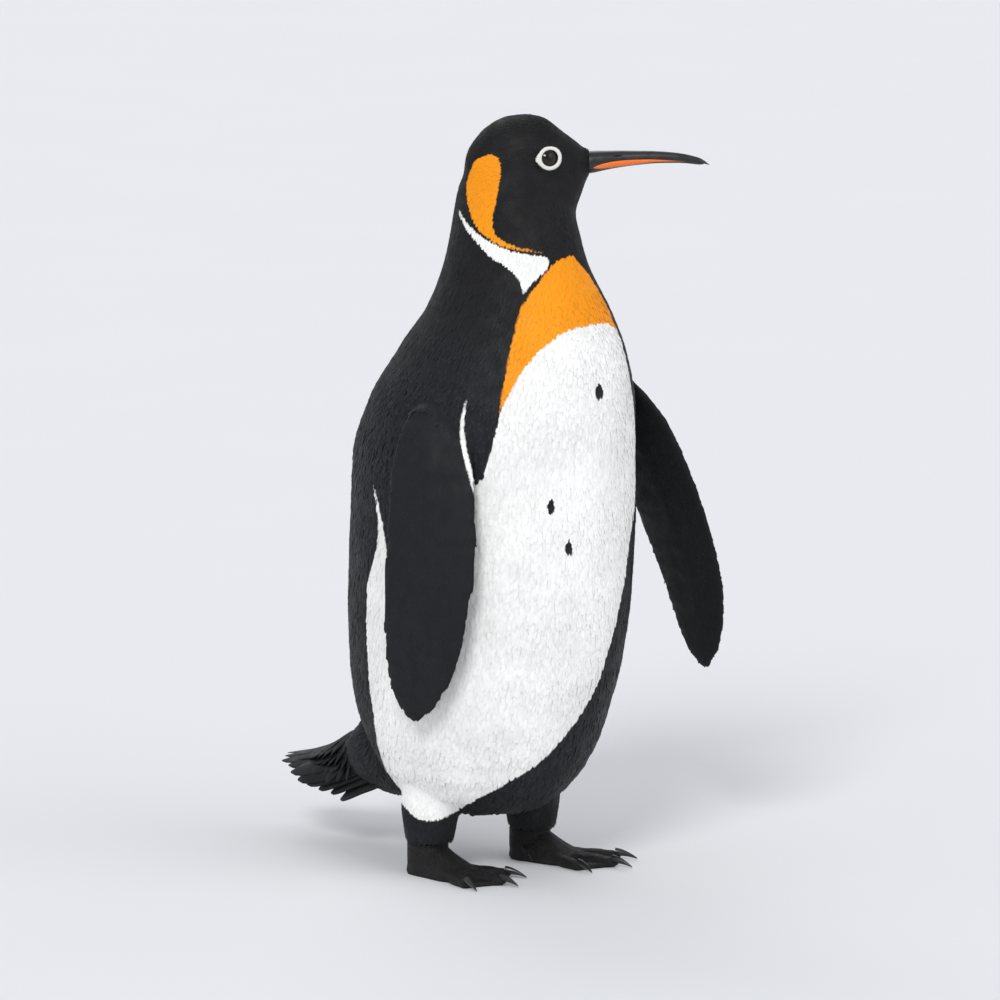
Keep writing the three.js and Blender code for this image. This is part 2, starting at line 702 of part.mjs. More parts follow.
function tailCoreForm() {
  return loft(stations(TAIL_CORE, 't', 9).map((s) => ring(20, (angle) => {
    const height = Math.sin(angle) < 0 ? s.down : s.up;
    return tailPoint(s.t * tailLength, s.side * Math.cos(angle), height * Math.sin(angle));
  })));
}

// One stiff feather: a long six-sided vane drawn out to a point. The tier is an arch seen from
// behind, so the outer feathers lie lower, turn down at their edges and are shorter.
function vaneForm(tier, place, stretch) {
  const turn = radians(tier.arch * place);
  const length = tailLength * tier.reach * (1 - VANE.lengthLoss * place * place) * stretch;
  const start = tailLength * tier.start;
  const rings = Array.from({ length: VANE.steps }, (_, i) => {
    const t = i / (VANE.steps - 1);
    const half = tier.width * Math.min(1, 0.7 + t) * (1 - Math.max(0, (t - 0.6) / 0.4) ** 2 * VANE.point);
    const thick = VANE.thickness * (1 - 0.6 * t);
    const radius = lerp(tier.base, tier.tip, t);
    const across = radius * Math.sin(turn);
    const up = radius * (Math.cos(turn) - 1) + tier.lift * (1 - 0.5 * t) - tier.drop * t * t;
    return ring(6, (angle) => {
      const wide = half * Math.cos(angle);
      const high = thick * Math.sin(angle);
      return tailPoint(
        lerp(start, length, t),
        across + wide * Math.cos(turn) + high * Math.sin(turn),
        up - wide * Math.sin(turn) + high * Math.cos(turn),
      );
    });
  });
  return loft(rings);
}

function seeded(seed) {
  let state = seed;
  return () => {
    state = (state * 1664525 + 1013904223) % 4294967296;
    return state / 4294967296;
  };
}

function tailBody() {
  const random = seeded(7);
  const vanes = TAIL_TIERS.flatMap((tier) => Array.from({ length: tier.count }, (_, k) => {
    const place = 2 * k / (tier.count - 1) - 1;
    const stretch = 1 + VANE.jitter * (random() - 0.5) * 2;
    return solid(vaneForm(tier, place, stretch));
  }));
  return largest(joined([solid(tailCoreForm()), ...vanes]).subtract(trunkSeat));
}

// ---- assembly ----

const penguin = new THREE.Group();

function addNode(name, body, material, frame = penguin) {
  const mesh = body.getMesh();
  const geometry = new THREE.BufferGeometry();
  geometry.setAttribute('position', new THREE.Float32BufferAttribute(mesh.vertProperties, 3));
  geometry.setIndex(new THREE.Uint32BufferAttribute(mesh.triVerts, 1));
  geometry.applyMatrix4(frame.matrixWorld.clone().invert());
  geometry.computeVertexNormals();
  const node = new THREE.Mesh(geometry, material);
  node.name = name;
  frame.add(node);
}

const SIDES = { left: 1, right: -1 };
penguin.add(headFrame);

// Flesh, parted into head, neck, breast patch, belly and back.
let flesh = fleshWhole();
const breastPatch = largest(flesh.intersect(breastWindow(0)));
flesh = flesh.subtract(breastWindow(GAP));
flesh = flesh.subtract(crossCut(HEAD_NECK_CUT, radians(HEAD_TURN)));
flesh = flesh.subtract(crossCut(NECK_TORSO_CUT, -Math.PI / 2));
const [torso, neck, crown] = flesh.decompose()
  .sort((a, b) => b.volume() - a.volume())
  .slice(0, 3)
  .sort((a, b) => a.boundingBox().max[2] - b.boundingBox().max[2]);

let head = crown;
for (const [side, sign] of Object.entries(SIDES)) {
  const eye = onHead(eyeForm(sign));
  head = head.subtract(swollen(eye, SEAT_GAP));
  addNode(`eye_${side}`, solid(eye), MATERIALS.eye, headFrame);
  addNode(`ear_patch_${side}`, largest(head.intersect(earPatchWindow(sign, 0))), MATERIALS.gold, headFrame);
  head = head.subtract(earPatchWindow(sign, GAP));
}
for (const cut of gapeCuts()) head = head.subtract(cut);
addNode('head', largest(head), MATERIALS.black, headFrame);

let upperBill = solid(onHead(upperBillForm));
for (const sign of Object.values(SIDES)) upperBill = upperBill.subtract(solid(onHead(nostrilForm(sign))));
addNode('bill_upper', largest(upperBill), MATERIALS.bill, headFrame);
addNode('bill_lower', solid(onHead(lowerBillForm)), MATERIALS.bill, headFrame);
for (const [side, sign] of Object.entries(SIDES)) {
  addNode(`bill_plate_${side}`, billPlate(sign), MATERIALS.plate, headFrame);
}

addNode('neck', neck, MATERIALS.black);
addNode('breast_patch', breastPatch, MATERIALS.gold);
addNode('belly', largest(torso.intersect(bellyWindow(0))), MATERIALS.white);
addNode('back', largest(torso.subtract(bellyWindow(GAP))), MATERIALS.back);
addNode('tail', tailBody(), MATERIALS.back);

for (const side of Object.keys(SIDES)) {
  const flipper = solid(flipperForm(FLIPPERS[side])).subtract(trunkSeat);
  addNode(`flipper_${side}`, largest(flipper), MATERIALS.back);
  const place = FEET[side];
  addNode(`leg_${side}`, largest(solid(legForm(place)).subtract(trunkSeat)), MATERIALS.black);
  const foot = footParts(place, place.sign);
  penguin.add(foot.frame);
  addNode(`foot_${side}`, foot.body, MATERIALS.foot, foot.frame);
  for (const claw of foot.claws) {
    addNode(`claw_${claw.name}_${side}`, solid(claw.form), MATERIALS.claw, foot.frame);
  }
}

// The origin is the centre of the base of the whole bird's box.
const box = new THREE.Box3().setFromObject(penguin);
const middle = box.getCenter(new THREE.Vector3());
penguin.position.set(-middle.x, -middle.y, -box.min.z);

export default penguin;
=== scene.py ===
# King penguin (Aptenodytes patagonicus), life size, standing, with its head turned to its left.
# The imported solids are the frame. One skin lies just inside their flesh and carries a coat of
# overlapping feathers. Bill, eyes, tail, feet and claws are pieces of their own.
import math

import bmesh
import bpy
import numpy as np
from mathutils import Matrix, Vector


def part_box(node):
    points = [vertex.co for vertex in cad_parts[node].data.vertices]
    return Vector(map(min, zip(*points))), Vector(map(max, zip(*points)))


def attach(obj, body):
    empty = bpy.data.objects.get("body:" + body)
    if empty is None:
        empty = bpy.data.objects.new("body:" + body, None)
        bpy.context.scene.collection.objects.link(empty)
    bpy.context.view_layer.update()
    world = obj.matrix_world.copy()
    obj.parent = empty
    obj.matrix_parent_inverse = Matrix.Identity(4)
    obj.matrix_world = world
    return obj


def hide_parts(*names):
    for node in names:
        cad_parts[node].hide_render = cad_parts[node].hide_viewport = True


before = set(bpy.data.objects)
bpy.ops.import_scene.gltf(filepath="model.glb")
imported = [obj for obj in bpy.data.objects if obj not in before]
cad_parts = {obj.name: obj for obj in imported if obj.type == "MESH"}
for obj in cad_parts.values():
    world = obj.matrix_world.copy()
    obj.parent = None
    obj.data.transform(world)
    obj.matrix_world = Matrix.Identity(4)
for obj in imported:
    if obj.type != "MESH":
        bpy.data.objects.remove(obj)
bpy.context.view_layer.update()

# ---- sizes, in millimetres in the bird's own frame: breast towards -Y, right side towards -X ----

# The head's own frame runs forward, to the bird's left and up.
HEAD_CENTRE = np.array((16.0, -64.0, 813.0))
HEAD_TURN = -45.0
HEAD_LIFT = 5.0
EYE = {"x": 21.0, "side": 32.0, "z": 4.0, "radius": 9.6}

# The flanks of body and neck: height, middle, half width, depth to the front and to the back.
TRUNK = np.array((
    (60, 2, 16, 18, 16), (67, 2, 56, 62, 58), (90, 2, 91, 102, 94), (136, 1, 121, 136, 126),
    (191, -1, 138, 155, 150), (246, -6, 148, 165, 160), (320, -12, 154, 170, 165),
    (400, -17, 156, 170, 165), (480, -23, 153, 164, 168), (540, -35, 143, 155, 158),
    (604, -50, 116, 137, 132), (650, -56, 93, 116, 105), (700, -53, 73, 92, 84),
    (745, -52, 63, 79, 75), (785, -52, 55, 60, 69), (820, -52, 32, 30, 42)), float)

# Head, in its own frame: distance ahead of its centre, height, half width, height above and below.
HEAD = np.array((
    (-77, -15, 6, 7, 9), (-75, -14.5, 15, 17.5, 21), (-70, -12.8, 25, 29, 34),
    (-60, -9, 33.5, 38.5, 42.5), (-46, -4.5, 39.8, 46, 48.8), (-28, -1.2, 43.8, 50.8, 51.6),
    (-10, 0, 45, 52.6, 52.3), (6, 0, 44, 51.4, 50.8), (18, -0.8, 41.5, 47.6, 48.2),
    (30, -2.2, 36.8, 40.8, 43), (42, -4.2, 29.8, 32, 35.2), (52, -6, 22.8, 24, 26.8),
    (60, -7.8, 17.2, 17.6, 19.6), (66, -9, 13.5, 14.4, 15.5)), float)

# Bill: distance from the head's centre, height of the gape, height above and below it, half width.
BILL = np.array((
    (66, -9, 12.5, 12.5, 12), (92, -8.5, 10, 9.6, 9), (127, -9.5, 7.8, 7, 6.7),
    (162, -13.5, 6.6, 4.8, 4.9), (186, -19.5, 5.2, 2.8, 3.3), (198, -24, 1.6, 0.8, 1.2)), float)
BILL_TIPS = {"upper": 198.0, "lower": 192.0}
BILL_PLATE = {"start": 67.5, "end": 170.0, "lift": 1.15, "sink": 1.0}

# Points down the middle of each flipper, and how far it is turned about its length.
FLIPPER_SPINES = {
    "right": ((-112, -62, 574), (-147, -76, 510), (-162, -93, 400), (-165, -84, 290), (-158, -60, 194)),
    "left": ((108, -62, 584), (162, -86, 506), (212, -104, 388), (242, -114, 292), (255, -113, 209)),
}
FLIPPER_TURNS = {"right": 22.0, "left": 1.0}

SIDES = {"left": 1, "right": -1}
FEET = {"right": {"x": -71.0, "y": 11.0, "splay": -3.0}, "left": {"x": 71.0, "y": -11.0, "splay": 15.0}}
# The front toes: angle from the foot's middle line, length and radius; then the hind toe and the claws.
TOES = (("inner", -24.0, 97.0, 10.0), ("middle", -1.0, 114.0, 11.0), ("outer", 22.0, 103.0, 10.2))
HIND_TOE = {"x": 2.0, "side": -20.0, "z": 15.0, "length": 17.0, "angle": -40.0}
CLAW = {"length": 18.0, "root": 7.0, "radius": 4.6, "drop": 6.4}

# The tail's core: share of its length, half width, height above and depth below its middle.
TAIL_ROOT = np.array((0.0, 92.0, 132.0))
TAIL_TIP = np.array((0.0, 312.0, 84.0))
TAIL_CORE = np.array(((0, 68, 58, 68), (0.2, 64, 50, 61), (0.32, 56, 33, 51), (0.42, 49, 22, 42),
                      (0.54, 41, 12, 32), (0.7, 25, 5, 14), (0.8, 9, 2, 4)), float)

# ---- measuring tools ----

MM = 0.001


def smooth_rows(table, places):
    """Rows of a table at any places along its first column, on a smooth curve that never overshoots."""
    table = np.asarray(table, float)
    key = table[:, 0]
    places = np.clip(np.atleast_1d(np.asarray(places, float)), key[0], key[-1])
    step = np.diff(table, axis=0) / np.diff(key)[:, None]
    slope = np.empty_like(table)
    slope[0], slope[-1] = step[0], step[-1]
    before, after = step[:-1], step[1:]
    both = np.where(np.abs(before + after) < 1e-12, 1.0, before + after)
    slope[1:-1] = np.where(before * after > 0, 2 * before * after / both, 0)
    i = np.clip(np.searchsorted(key, places, side="right") - 1, 0, len(key) - 2)
    span = (key[i + 1] - key[i])[:, None]
    t = ((places - key[i]) / (key[i + 1] - key[i]))[:, None]
    rise = table[i + 1] - table[i]
    low = t * (t - 1) ** 2 * slope[i] * span
    high = t * t * (t - 1) * slope[i + 1] * span
    return table[i] + rise * t * t * (3 - 2 * t) + low + high


def unit(v):
    return v / np.maximum(np.linalg.norm(v, axis=-1, keepdims=True), 1e-12)


def smoothstep(low, high, x):
    t = np.clip((x - low) / (high - low), 0, 1)
    return t * t * (3 - 2 * t)


def band(x, rise, fall):
    """A share that rises from 0 to 1 over one pair of places and falls again over another."""
    return smoothstep(*rise, x) * smoothstep(*fall, x)


def circle(count):
    """Evenly spread angles once round."""
    return np.linspace(0, 2 * math.pi, count, endpoint=False)


head_axes = (Matrix.Rotation(math.radians(HEAD_TURN), 3, "Z")
             @ Matrix.Rotation(-math.radians(HEAD_LIFT), 3, "Y"))
HEAD_AXES = np.array(head_axes)
eye_offset = head_axes @ Vector((EYE["x"], EYE["side"], EYE["z"]))
eye_low, eye_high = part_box("eye_left")
# The frame is centred on the whole bird; the eye's place gives the way from the bird's own frame.
SHIFT = np.array((eye_low + eye_high) / 2) / MM - HEAD_CENTRE - np.array(eye_offset)


def placed(points):
    """Points of the bird's own frame, in millimetres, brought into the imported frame, in metres."""
    return (np.asarray(points, float) + SHIFT) * MM


def head_frame(points):
    return (points - HEAD_CENTRE) @ HEAD_AXES


def from_head(local):
    return np.asarray(local, float) @ HEAD_AXES.T + HEAD_CENTRE


def on_head(local):
    return placed(from_head(local))


# ---- mesh tools ----


def linked(name, data):
    made = bpy.data.objects.new(name, data)
    bpy.context.scene.collection.objects.link(made)
    return made


def shaded(piece, smooth=True):
    piece.data.polygons.foreach_set("use_smooth", [smooth] * len(piece.data.polygons))
    return piece


def mesh_object(name, points, faces, material=None, smooth=True):
    mesh = bpy.data.meshes.new(name)
    mesh.from_pydata([tuple(p) for p in points], [], [tuple(f) for f in faces])
    mesh.validate()
    mesh.update()
    if material:
        mesh.materials.append(material)
    return shaded(linked(name, mesh), smooth)


def loft_faces(rings, count, start=0):
    """The faces of a closed tube: rings of points joined one to the next, with both ends shut."""
    faces = []
    for i in range(rings - 1):
        for j in range(count):
            a = start + i * count + j
            b = start + i * count + (j + 1) % count
            faces.append((a, b, b + count, a + count))
    faces.append(tuple(start + j for j in reversed(range(count))))
    faces.append(tuple(start + (rings - 1) * count + j for j in range(count)))
    return faces


def facing_out(piece, join=True):
    """The piece with its doubled points joined and its normals outward."""
    work = bmesh.new()
    work.from_mesh(piece.data)
    if join:
        bmesh.ops.remove_doubles(work, verts=work.verts, dist=1e-7)
    bmesh.ops.recalc_face_normals(work, faces=work.faces)
    work.to_mesh(piece.data)
    work.free()
    return piece


def smoothed_by_angle(piece, degrees=40):
    shaded(piece)
    work = bmesh.new()
    work.from_mesh(piece.data)
    for edge in work.edges:
        edge.smooth = len(edge.link_faces) == 2 and edge.calc_face_angle(0) < math.radians(degrees)
    work.to_mesh(piece.data)
    work.free()
    return piece


def flattened(piece, name):
    """The piece with its modifiers worked into a plain mesh."""
    graph = bpy.context.evaluated_depsgraph_get()
    mesh = bpy.data.meshes.new_from_object(piece.evaluated_get(graph), depsgraph=graph)
    mesh.name = name
    made = linked(name, mesh)
    old = piece.data
    bpy.data.objects.remove(piece)
    bpy.data.meshes.remove(old)
    return made


def packed_mesh(node, growth=0.0):
    """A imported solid's mesh with its doubled points joined, each moved out by the growth."""
    part = bmesh.new()
    part.from_mesh(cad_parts[node].data)
    bmesh.ops.remove_doubles(part, verts=part.verts, dist=1e-6)
    part.normal_update()
    for vertex in part.verts:
        vertex.co += vertex.normal * growth
    mesh = bpy.data.meshes.new(node)
    part.to_mesh(mesh)
    part.free()
    return mesh


def remeshed(mesh, grain, name):
    """One closed surface of even faces round all that the mesh holds."""
    host = linked(mesh.name, mesh)
    even = host.modifiers.new("even", "REMESH")
    even.mode = "VOXEL"
    even.voxel_size = grain
    return shaded(flattened(host, name))


def read(items, field, width=1, kind=np.float32):
    """A value or a vector of each item of a mesh, as an array."""
    flat = np.empty(len(items) * width, kind)
    items.foreach_get(field, flat)
    return flat.reshape(-1, width) if width > 1 else flat


def coordinates(mesh):
    return read(mesh.vertices, "co", 3).astype(float)


def set_coordinates(mesh, points):
    mesh.vertices.foreach_set("co", points.astype(np.float32).ravel())
    mesh.update()


def bird_points(mesh):
    """The mesh's points in the bird's own frame."""
    return coordinates(mesh) / MM - SHIFT


def set_bird_points(mesh, points):
    set_coordinates(mesh, placed(points))


def mesh_normals(mesh):
    return read(mesh.vertex_normals, "vector", 3).astype(float)


def neighbour_mean(mesh):
    """A function that gives, for values at the vertices, the mean over each one's neighbours."""
    a, b = read(mesh.edges, "vertices", 2, np.int32).T
    count = len(mesh.vertices)
    links = np.maximum(np.bincount(a, minlength=count) + np.bincount(b, minlength=count), 1)

    def mean(values):
        columns = values.reshape(count, -1).T
        totals = [np.bincount(a, column[b], count) + np.bincount(b, column[a], count) for column in columns]
        return (np.stack(totals, axis=1) / links[:, None]).reshape(values.shape)

    return mean


def relaxed(mesh, rounds, weight=1.0, shrinks=False):
    """Vertices evened out with their neighbours, without loss of bulk unless it may shrink."""
    mean = neighbour_mean(mesh)
    points = coordinates(mesh)
    weight = np.reshape(weight, (-1, 1))
    for step in range(rounds if shrinks else 2 * rounds):
        pull = 0.5 if shrinks or step % 2 == 0 else -0.52
        points = points + pull * weight * (mean(points) - points)
    set_coordinates(mesh, points)


def evened(mesh, values, rounds):
    """Values at the vertices, blurred over their neighbours."""
    mean = neighbour_mean(mesh)
    for _ in range(rounds):
        values = 0.5 * values + 0.5 * mean(values)
    return values


def store(mesh, name, kind, domain, values):
    layer = mesh.attributes.new(name, kind, domain)
    values = np.asarray(values)
    field = "vector" if values.ndim == 2 else "value"
    layer.data.foreach_set(field, values.astype(np.int32 if kind == "INT" else np.float32).ravel())


def set_bake_map(mesh, uv):
    layer = mesh.uv_layers.new(name="OFBake")
    layer.data.foreach_set("uv", uv.astype(np.float32).ravel())


def handed_over(piece, slot, *nodes):
    """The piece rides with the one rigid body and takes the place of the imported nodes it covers."""
    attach(piece, "root")
    if nodes:
        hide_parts(*nodes)

# ---- shader tools ----


class Nodes:
    """Short ways to place and link nodes in one tree."""

    def __init__(self, tree):
        self.tree = tree

    def new(self, kind, **settings):
        node = self.tree.nodes.new(kind)
        for key, value in settings.items():
            setattr(node, key, value)
        return node

    def feed(self, socket, value):
        if isinstance(value, bpy.types.NodeSocket):
            self.tree.links.new(value, socket)
        elif value is not None:
            socket.default_value = value

    def wired(self, kind, fed, output=0, **settings):
        """One output of a new node, whose inputs are fed by name or place with links or values."""
        node = self.new(kind, **settings)
        for key, value in fed.items():
            self.feed(node.inputs[key], value)
        return node.outputs[output]

    def math(self, operation, a, b=None, clamp=False):
        return self.wired("ShaderNodeMath", {0: a, 1: b}, operation=operation, use_clamp=clamp)

    def times(self, a, b):
        return self.math("MULTIPLY", a, b)

    def plus(self, a, b):
        return self.math("ADD", a, b)

    def split(self, vector):
        node = self.new("ShaderNodeSeparateXYZ")
        self.feed(node.inputs[0], vector)
        return node.outputs

    def joined(self, *parts):
        return self.wired("ShaderNodeCombineXYZ", dict(enumerate(parts)))

    def mix(self, share, a, b, blend="MIX"):
        fed = {"Factor": share, 6: a, 7: b}
        return self.wired("ShaderNodeMix", fed, 2, data_type="RGBA", blend_type=blend)

    def between(self, value, low, high, to_low=0.0, to_high=1.0, ramp="SMOOTHSTEP"):
        fed = dict(enumerate((value, low, high, to_low, to_high)))
        return self.wired("ShaderNodeMapRange", fed, interpolation_type=ramp)

    def noise(self, place, scale, detail=2.0):
        return self.wired("ShaderNodeTexNoise", {"Vector": place, "Scale": scale, "Detail": detail}, "Fac")

    def attribute(self, name, output="Vector"):
        return self.wired("ShaderNodeAttribute", {}, output, attribute_type="GEOMETRY", attribute_name=name)

    def here(self):
        return self.wired("ShaderNodeTexCoord", {}, "Object")


def node_group(name, kind, inputs, outputs):
    """A group of nodes whose inputs and outputs are given as label and kind of socket."""
    group = bpy.data.node_groups.new(name, kind)
    for way, sockets in (("INPUT", inputs), ("OUTPUT", outputs)):
        for label, socket in sockets.items():
            group.interface.new_socket(name=label, in_out=way, socket_type="NodeSocket" + socket)
    n = Nodes(group)
    return group, n, n.new("NodeGroupInput").outputs, n.new("NodeGroupOutput").inputs


def material(name, roughness, **constants):
    made = bpy.data.materials.new(name)
    made.use_nodes = True
    shader = made.node_tree.nodes["Principled BSDF"].inputs
    shader["Roughness"].default_value = roughness
    for key, value in constants.items():
        shader[key.replace("_", " ")].default_value = value
    return made, Nodes(made.node_tree), shader


def bump(n, shader, height, strength, distance):
    fed = {"Strength": strength, "Distance": distance, "Height": height}
    n.feed(shader["Normal"], n.wired("ShaderNodeBump", fed))


# ---- plumage material: the same colours on the skin and on every feather ----

BLACK = (0.0065, 0.0065, 0.007, 1)
SLATE = (0.009, 0.0098, 0.0122, 1)
SLATE_TIP = (0.026, 0.029, 0.037, 1)
GOLD = (0.95, 0.345, 0.004, 1)
GOLD_DEEP = (0.88, 0.255, 0.003, 1)
WHITE = (0.92, 0.915, 0.895, 1)
GREY_ROOT = (0.80, 0.79, 0.77, 1)
BARBS = {"along": 70.0, "slant": 32.0, "height": 0.25}


def plumage_group():
    """Feather colour from the distances to the edges of the gold and of the white, in millimetres."""
    group, n, given, out = node_group(
        "plumage_markings", "ShaderNodeTree",
        {"Marks": "Vector", "Tint": "Float", "Along": "Float", "Across": "Float", "Soft Edge": "Float"},
        {"Colour": "Color", "Height": "Float", "Roughness": "Float"})
    place, along, tint, soft = n.here(), given["Along"], given["Tint"], given["Soft Edge"]
    in_gold, in_white, slate = n.split(given["Marks"])
    wobble = n.times(n.math("SUBTRACT", n.noise(place, 260.0, 3.0), 0.5), 1.6)
    gold, white = (n.between(n.plus(inside, wobble), n.times(soft, -1.0), soft)
                   for inside in (in_gold, in_white))
    # The back's feathers have slate tips, the white ones grey roots, the gold ones differ in depth.
    root = n.between(along, 0.55, 0.1)
    speckle = n.plus(n.times(n.between(tint, 0.25, 0.95), 0.55), 0.2)
    tip = n.times(n.times(n.between(along, 0.62, 0.97), slate), speckle)
    dark = n.mix(tip, n.mix(slate, BLACK, SLATE), SLATE_TIP)
    pale = n.mix(n.times(root, 0.5), WHITE, GREY_ROOT)
    golden = n.mix(n.math("MULTIPLY", n.plus(root, tint), 0.5, True), GOLD, GOLD_DEEP)
    colour = n.mix(gold, n.mix(white, dark, pale), golden)
    shade = n.times(n.between(n.noise(place, 14.0), 0.3, 0.7, 0.94, 1.05),
                    n.between(tint, 0.0, 1.0, 0.93, 1.05, "LINEAR"))
    grey = n.wired("ShaderNodeCombineColor", {0: shade, 1: shade, 2: shade})
    n.feed(out["Colour"], n.mix(1.0, colour, grey, "MULTIPLY"))
    off_shaft = n.math("ABSOLUTE", given["Across"])
    slant = n.math("SUBTRACT", n.times(along, BARBS["along"]), n.times(off_shaft, BARBS["slant"]))
    barbs = n.times(n.math("SINE", slant), BARBS["height"])
    n.feed(out["Height"], n.plus(barbs, n.between(off_shaft, 0.0, 0.12, 1.0, 0.0)))
    n.feed(out["Roughness"], n.between(n.noise(place, 60.0), 0.3, 0.7, 0.5, 0.68))
    return group


PLUMAGE = plumage_group()


def plumage_material(name, soft_edge, on_feathers, relief):
    made, n, shader = material(name, 0.6, Sheen_Weight=0.02, Specular_IOR_Level=0.22)
    group = n.new("ShaderNodeGroup", node_tree=PLUMAGE)
    if on_feathers:
        across, along, _ = n.split(n.attribute("vane"))
        tint = n.attribute("tint", "Fac")
    else:
        across, along, tint = 0.5, 0.5, 0.4
    fed = {"Marks": n.attribute("marks"), "Soft Edge": soft_edge, "Across": across, "Along": along,
           "Tint": tint}
    for label, value in fed.items():
        n.feed(group.inputs[label], value)
    n.feed(shader["Base Color"], group.outputs["Colour"])
    n.feed(shader["Roughness"], group.outputs["Roughness"])
    bump(n, shader, group.outputs["Height"], relief, 0.0002)
    return made


SKIN_FINISH = plumage_material("skin_under_feathers", 1.5, False, 0.0)
FEATHER_FINISH = plumage_material("feathers", 0.7, True, 0.25)

# ---- markings ----

# The quarter view: its turn and rise, how far off it stands, what it looks at, and its lens.
VIEW_TURN = math.radians(-45.0)
VIEW_RISE = math.radians(9.5)
VIEW_DISTANCE = 10000.0
VIEW_TARGET = np.array((0.0, 0.0, 440.0))
VIEW_AIM = np.array((21.5, -19.2))
VIEW_LENS = 318.7
TO_CAMERA = np.array((math.sin(VIEW_TURN) * math.cos(VIEW_RISE),
                      -math.cos(VIEW_TURN) * math.cos(VIEW_RISE), math.sin(VIEW_RISE)))
VIEW_RIGHT = np.array((math.cos(VIEW_TURN), math.sin(VIEW_TURN), 0.0))
VIEW_UP = np.cross(TO_CAMERA, VIEW_RIGHT)

# Outlines on a plane square to the quarter view, in millimetres from the view's target.
EAR_OUTLINE = ((1, 368), (11, 371), (20, 365), (22, 351), (20, 334.5), (16, 314), (13, 297),
               (15, 283.5), (25, 272.5), (44, 265.7), (76, 259.4), (55.5, 260.9), (27, 265.7),
               (5.5, 278), (-7, 291.5), (-12, 304), (-15.5, 317.5), (-16.5, 334.5), (-13.5, 348),
               (-7.5, 363))
NECK_OUTLINE = ((-24, 308.5), (-17, 295), (-6, 283.5), (10, 272.3), (33, 262), (55, 257.6),
                (72.5, 255), (76.5, 251), (77.2, 246.5), (75, 241.5), (64, 230.5), (53, 220),
                (47.5, 212), (45.5, 222), (38, 235), (24, 246), (7, 258), (-7, 274.5), (-18, 289),
                (-24.5, 303))
# The breast's gold on its own front view: out from the middle and up, in millimetres.
BREAST_TOP = ((0, 712), (5, 711.5), (20.5, 707), (38, 691), (56, 672), (67, 657), (77, 636.5),
              (87.5, 613), (94, 594), (101, 572), (107, 546))
BREAST_FOOT = ((0, 638.5), (19, 638), (31, 635.5), (43, 630.5), (55, 623), (66, 614.5), (76, 603),
               (87, 587), (97, 567), (107, 546))
# Height at which the white passes under the gold, out from the middle.
WHITE_TOP = ((0, 676), (30, 668), (60, 640), (76, 620), (88, 600), (97, 575), (103, 558), (107, 546),
             (130, 540))
FLECKS = ((133.3, 104.0), (79.1, -25.0), (99.4, -72.3))
FLECK = {"point": 0.4, "half_width": 4.3, "half_height": 10.5}
# Border of the white, in degrees from the middle of the breast, at heights up the body.
WHITE_RIGHT = ((150, 111), (191, 107.6), (337, 107.6), (361, 103.9), (384, 100.3),
               (407, 99.6), (434, 102.9), (456, 107.5), (460, 70), (464, 52.4), (474, 49.8),
               (500, 48), (528, 46.8), (560, 46.2))
# On the left the border sweeps forward low down, past the middle of the belly: a band of painted shade that
# runs into the dark of the left thigh.
WHITE_LEFT = ((150, -13), (167, -7), (200, 2.6), (233, 8.2), (277, 12.6), (321, 18), (342, 21),
              (365, 22.7), (381, 24.2), (398, 25.7), (413, 29.8), (429, 33), (450, 37), (473, 38),
              (500, 37.5), (515, 35), (530, 32.9), (551, 29.8), (586, 27.4), (616, 25.7), (639, 23.5),
              (666, 23.3), (689, 18.4), (707, 6.6), (720, 2))
# On the same plane as the ear patch: the white's lower end, whose left edge bounds the painted shade of
# the left flank; the dark behind the wing's rear edge, the back's black carried forward as painted shade
# under the wing;
# and the pale line along its leading edge, a painted highlight.
WHITE_END = ((-129.9, -177.4), (-127.7, -222.6), (-123.2, -256.5), (-116.4, -296.1), (-105.1, -330.0),
             (-91.5, -358.2), (-76.8, -376.3), (-62.1, -381.9), (-46.3, -380.8), (-35.0, -375.2),
             (-12.4, -361.6), (19.2, -344.6), (44.1, -330.0), (66.7, -315.3), (91.5, -290.4),
             (117.5, -256.5), (134.5, -222.6), (148.0, -177.4))
WING_SHADE = ((-145.8, 23.7), (-124.3, 5.1), (-119.8, -7.9), (-115.3, -24.9), (-111.9, -41.8),
              (-108.5, -58.8), (-106.2, -75.7), (-105.1, -93.8), (-100.6, -120.9), (-87.0, -120.9),
              (-80.2, -19.2), (-85.9, 31.6))
WING_HIGHLIGHT_LINE = ((-15.3, 96.0), (-21.0, 81.8), (-23.7, 63.3), (-22.8, 44.9), (-18.6, 24.2), (-14.0, 7.9),
             (-8.2, -12.4), (-5.6, -4.5), (-11.8, 19.5), (-16.9, 42.6), (-18.9, 58.8), (-18.2, 77.2))
# The lower end counts below this height. It stops at an angle round the body, and just behind the
# middle of the right leg.
WHITE_END_HEIGHT = 160.0
WHITE_END_ANGLE = 124.0
WHITE_BEHIND_LEG = 12.0
LEG_MIDDLE = (-64.0, 11.0)
BODY_MIDDLE = (0.0, 2.0)
# A distance that is far outside any marking, and one well inside.
OUTSIDE = -30.0
INSIDE = 30.0
ON_TRUNK = 1.02


def inside_depth(points, outline):
    """Distance from a closed outline, positive inside it."""
    outline = np.asarray(outline, float)
    nearest = np.full(len(points), np.inf)
    crossings = np.zeros(len(points), int)
    for a, b in zip(outline, np.roll(outline, -1, axis=0)):
        edge = b - a
        t = np.clip(((points - a) @ edge) / max(edge @ edge, 1e-9), 0, 1)
        nearest = np.minimum(nearest, np.linalg.norm(points - a - t[:, None] * edge, axis=1))
        rising = (a[1] > points[:, 1]) != (b[1] > points[:, 1])
        drop = np.where(abs(edge[1]) < 1e-9, 1e-9, edge[1])
        crossings += rising & (points[:, 0] < a[0] + (points[:, 1] - a[1]) * edge[0] / drop)
    return np.where(crossings % 2 == 1, nearest, -nearest)


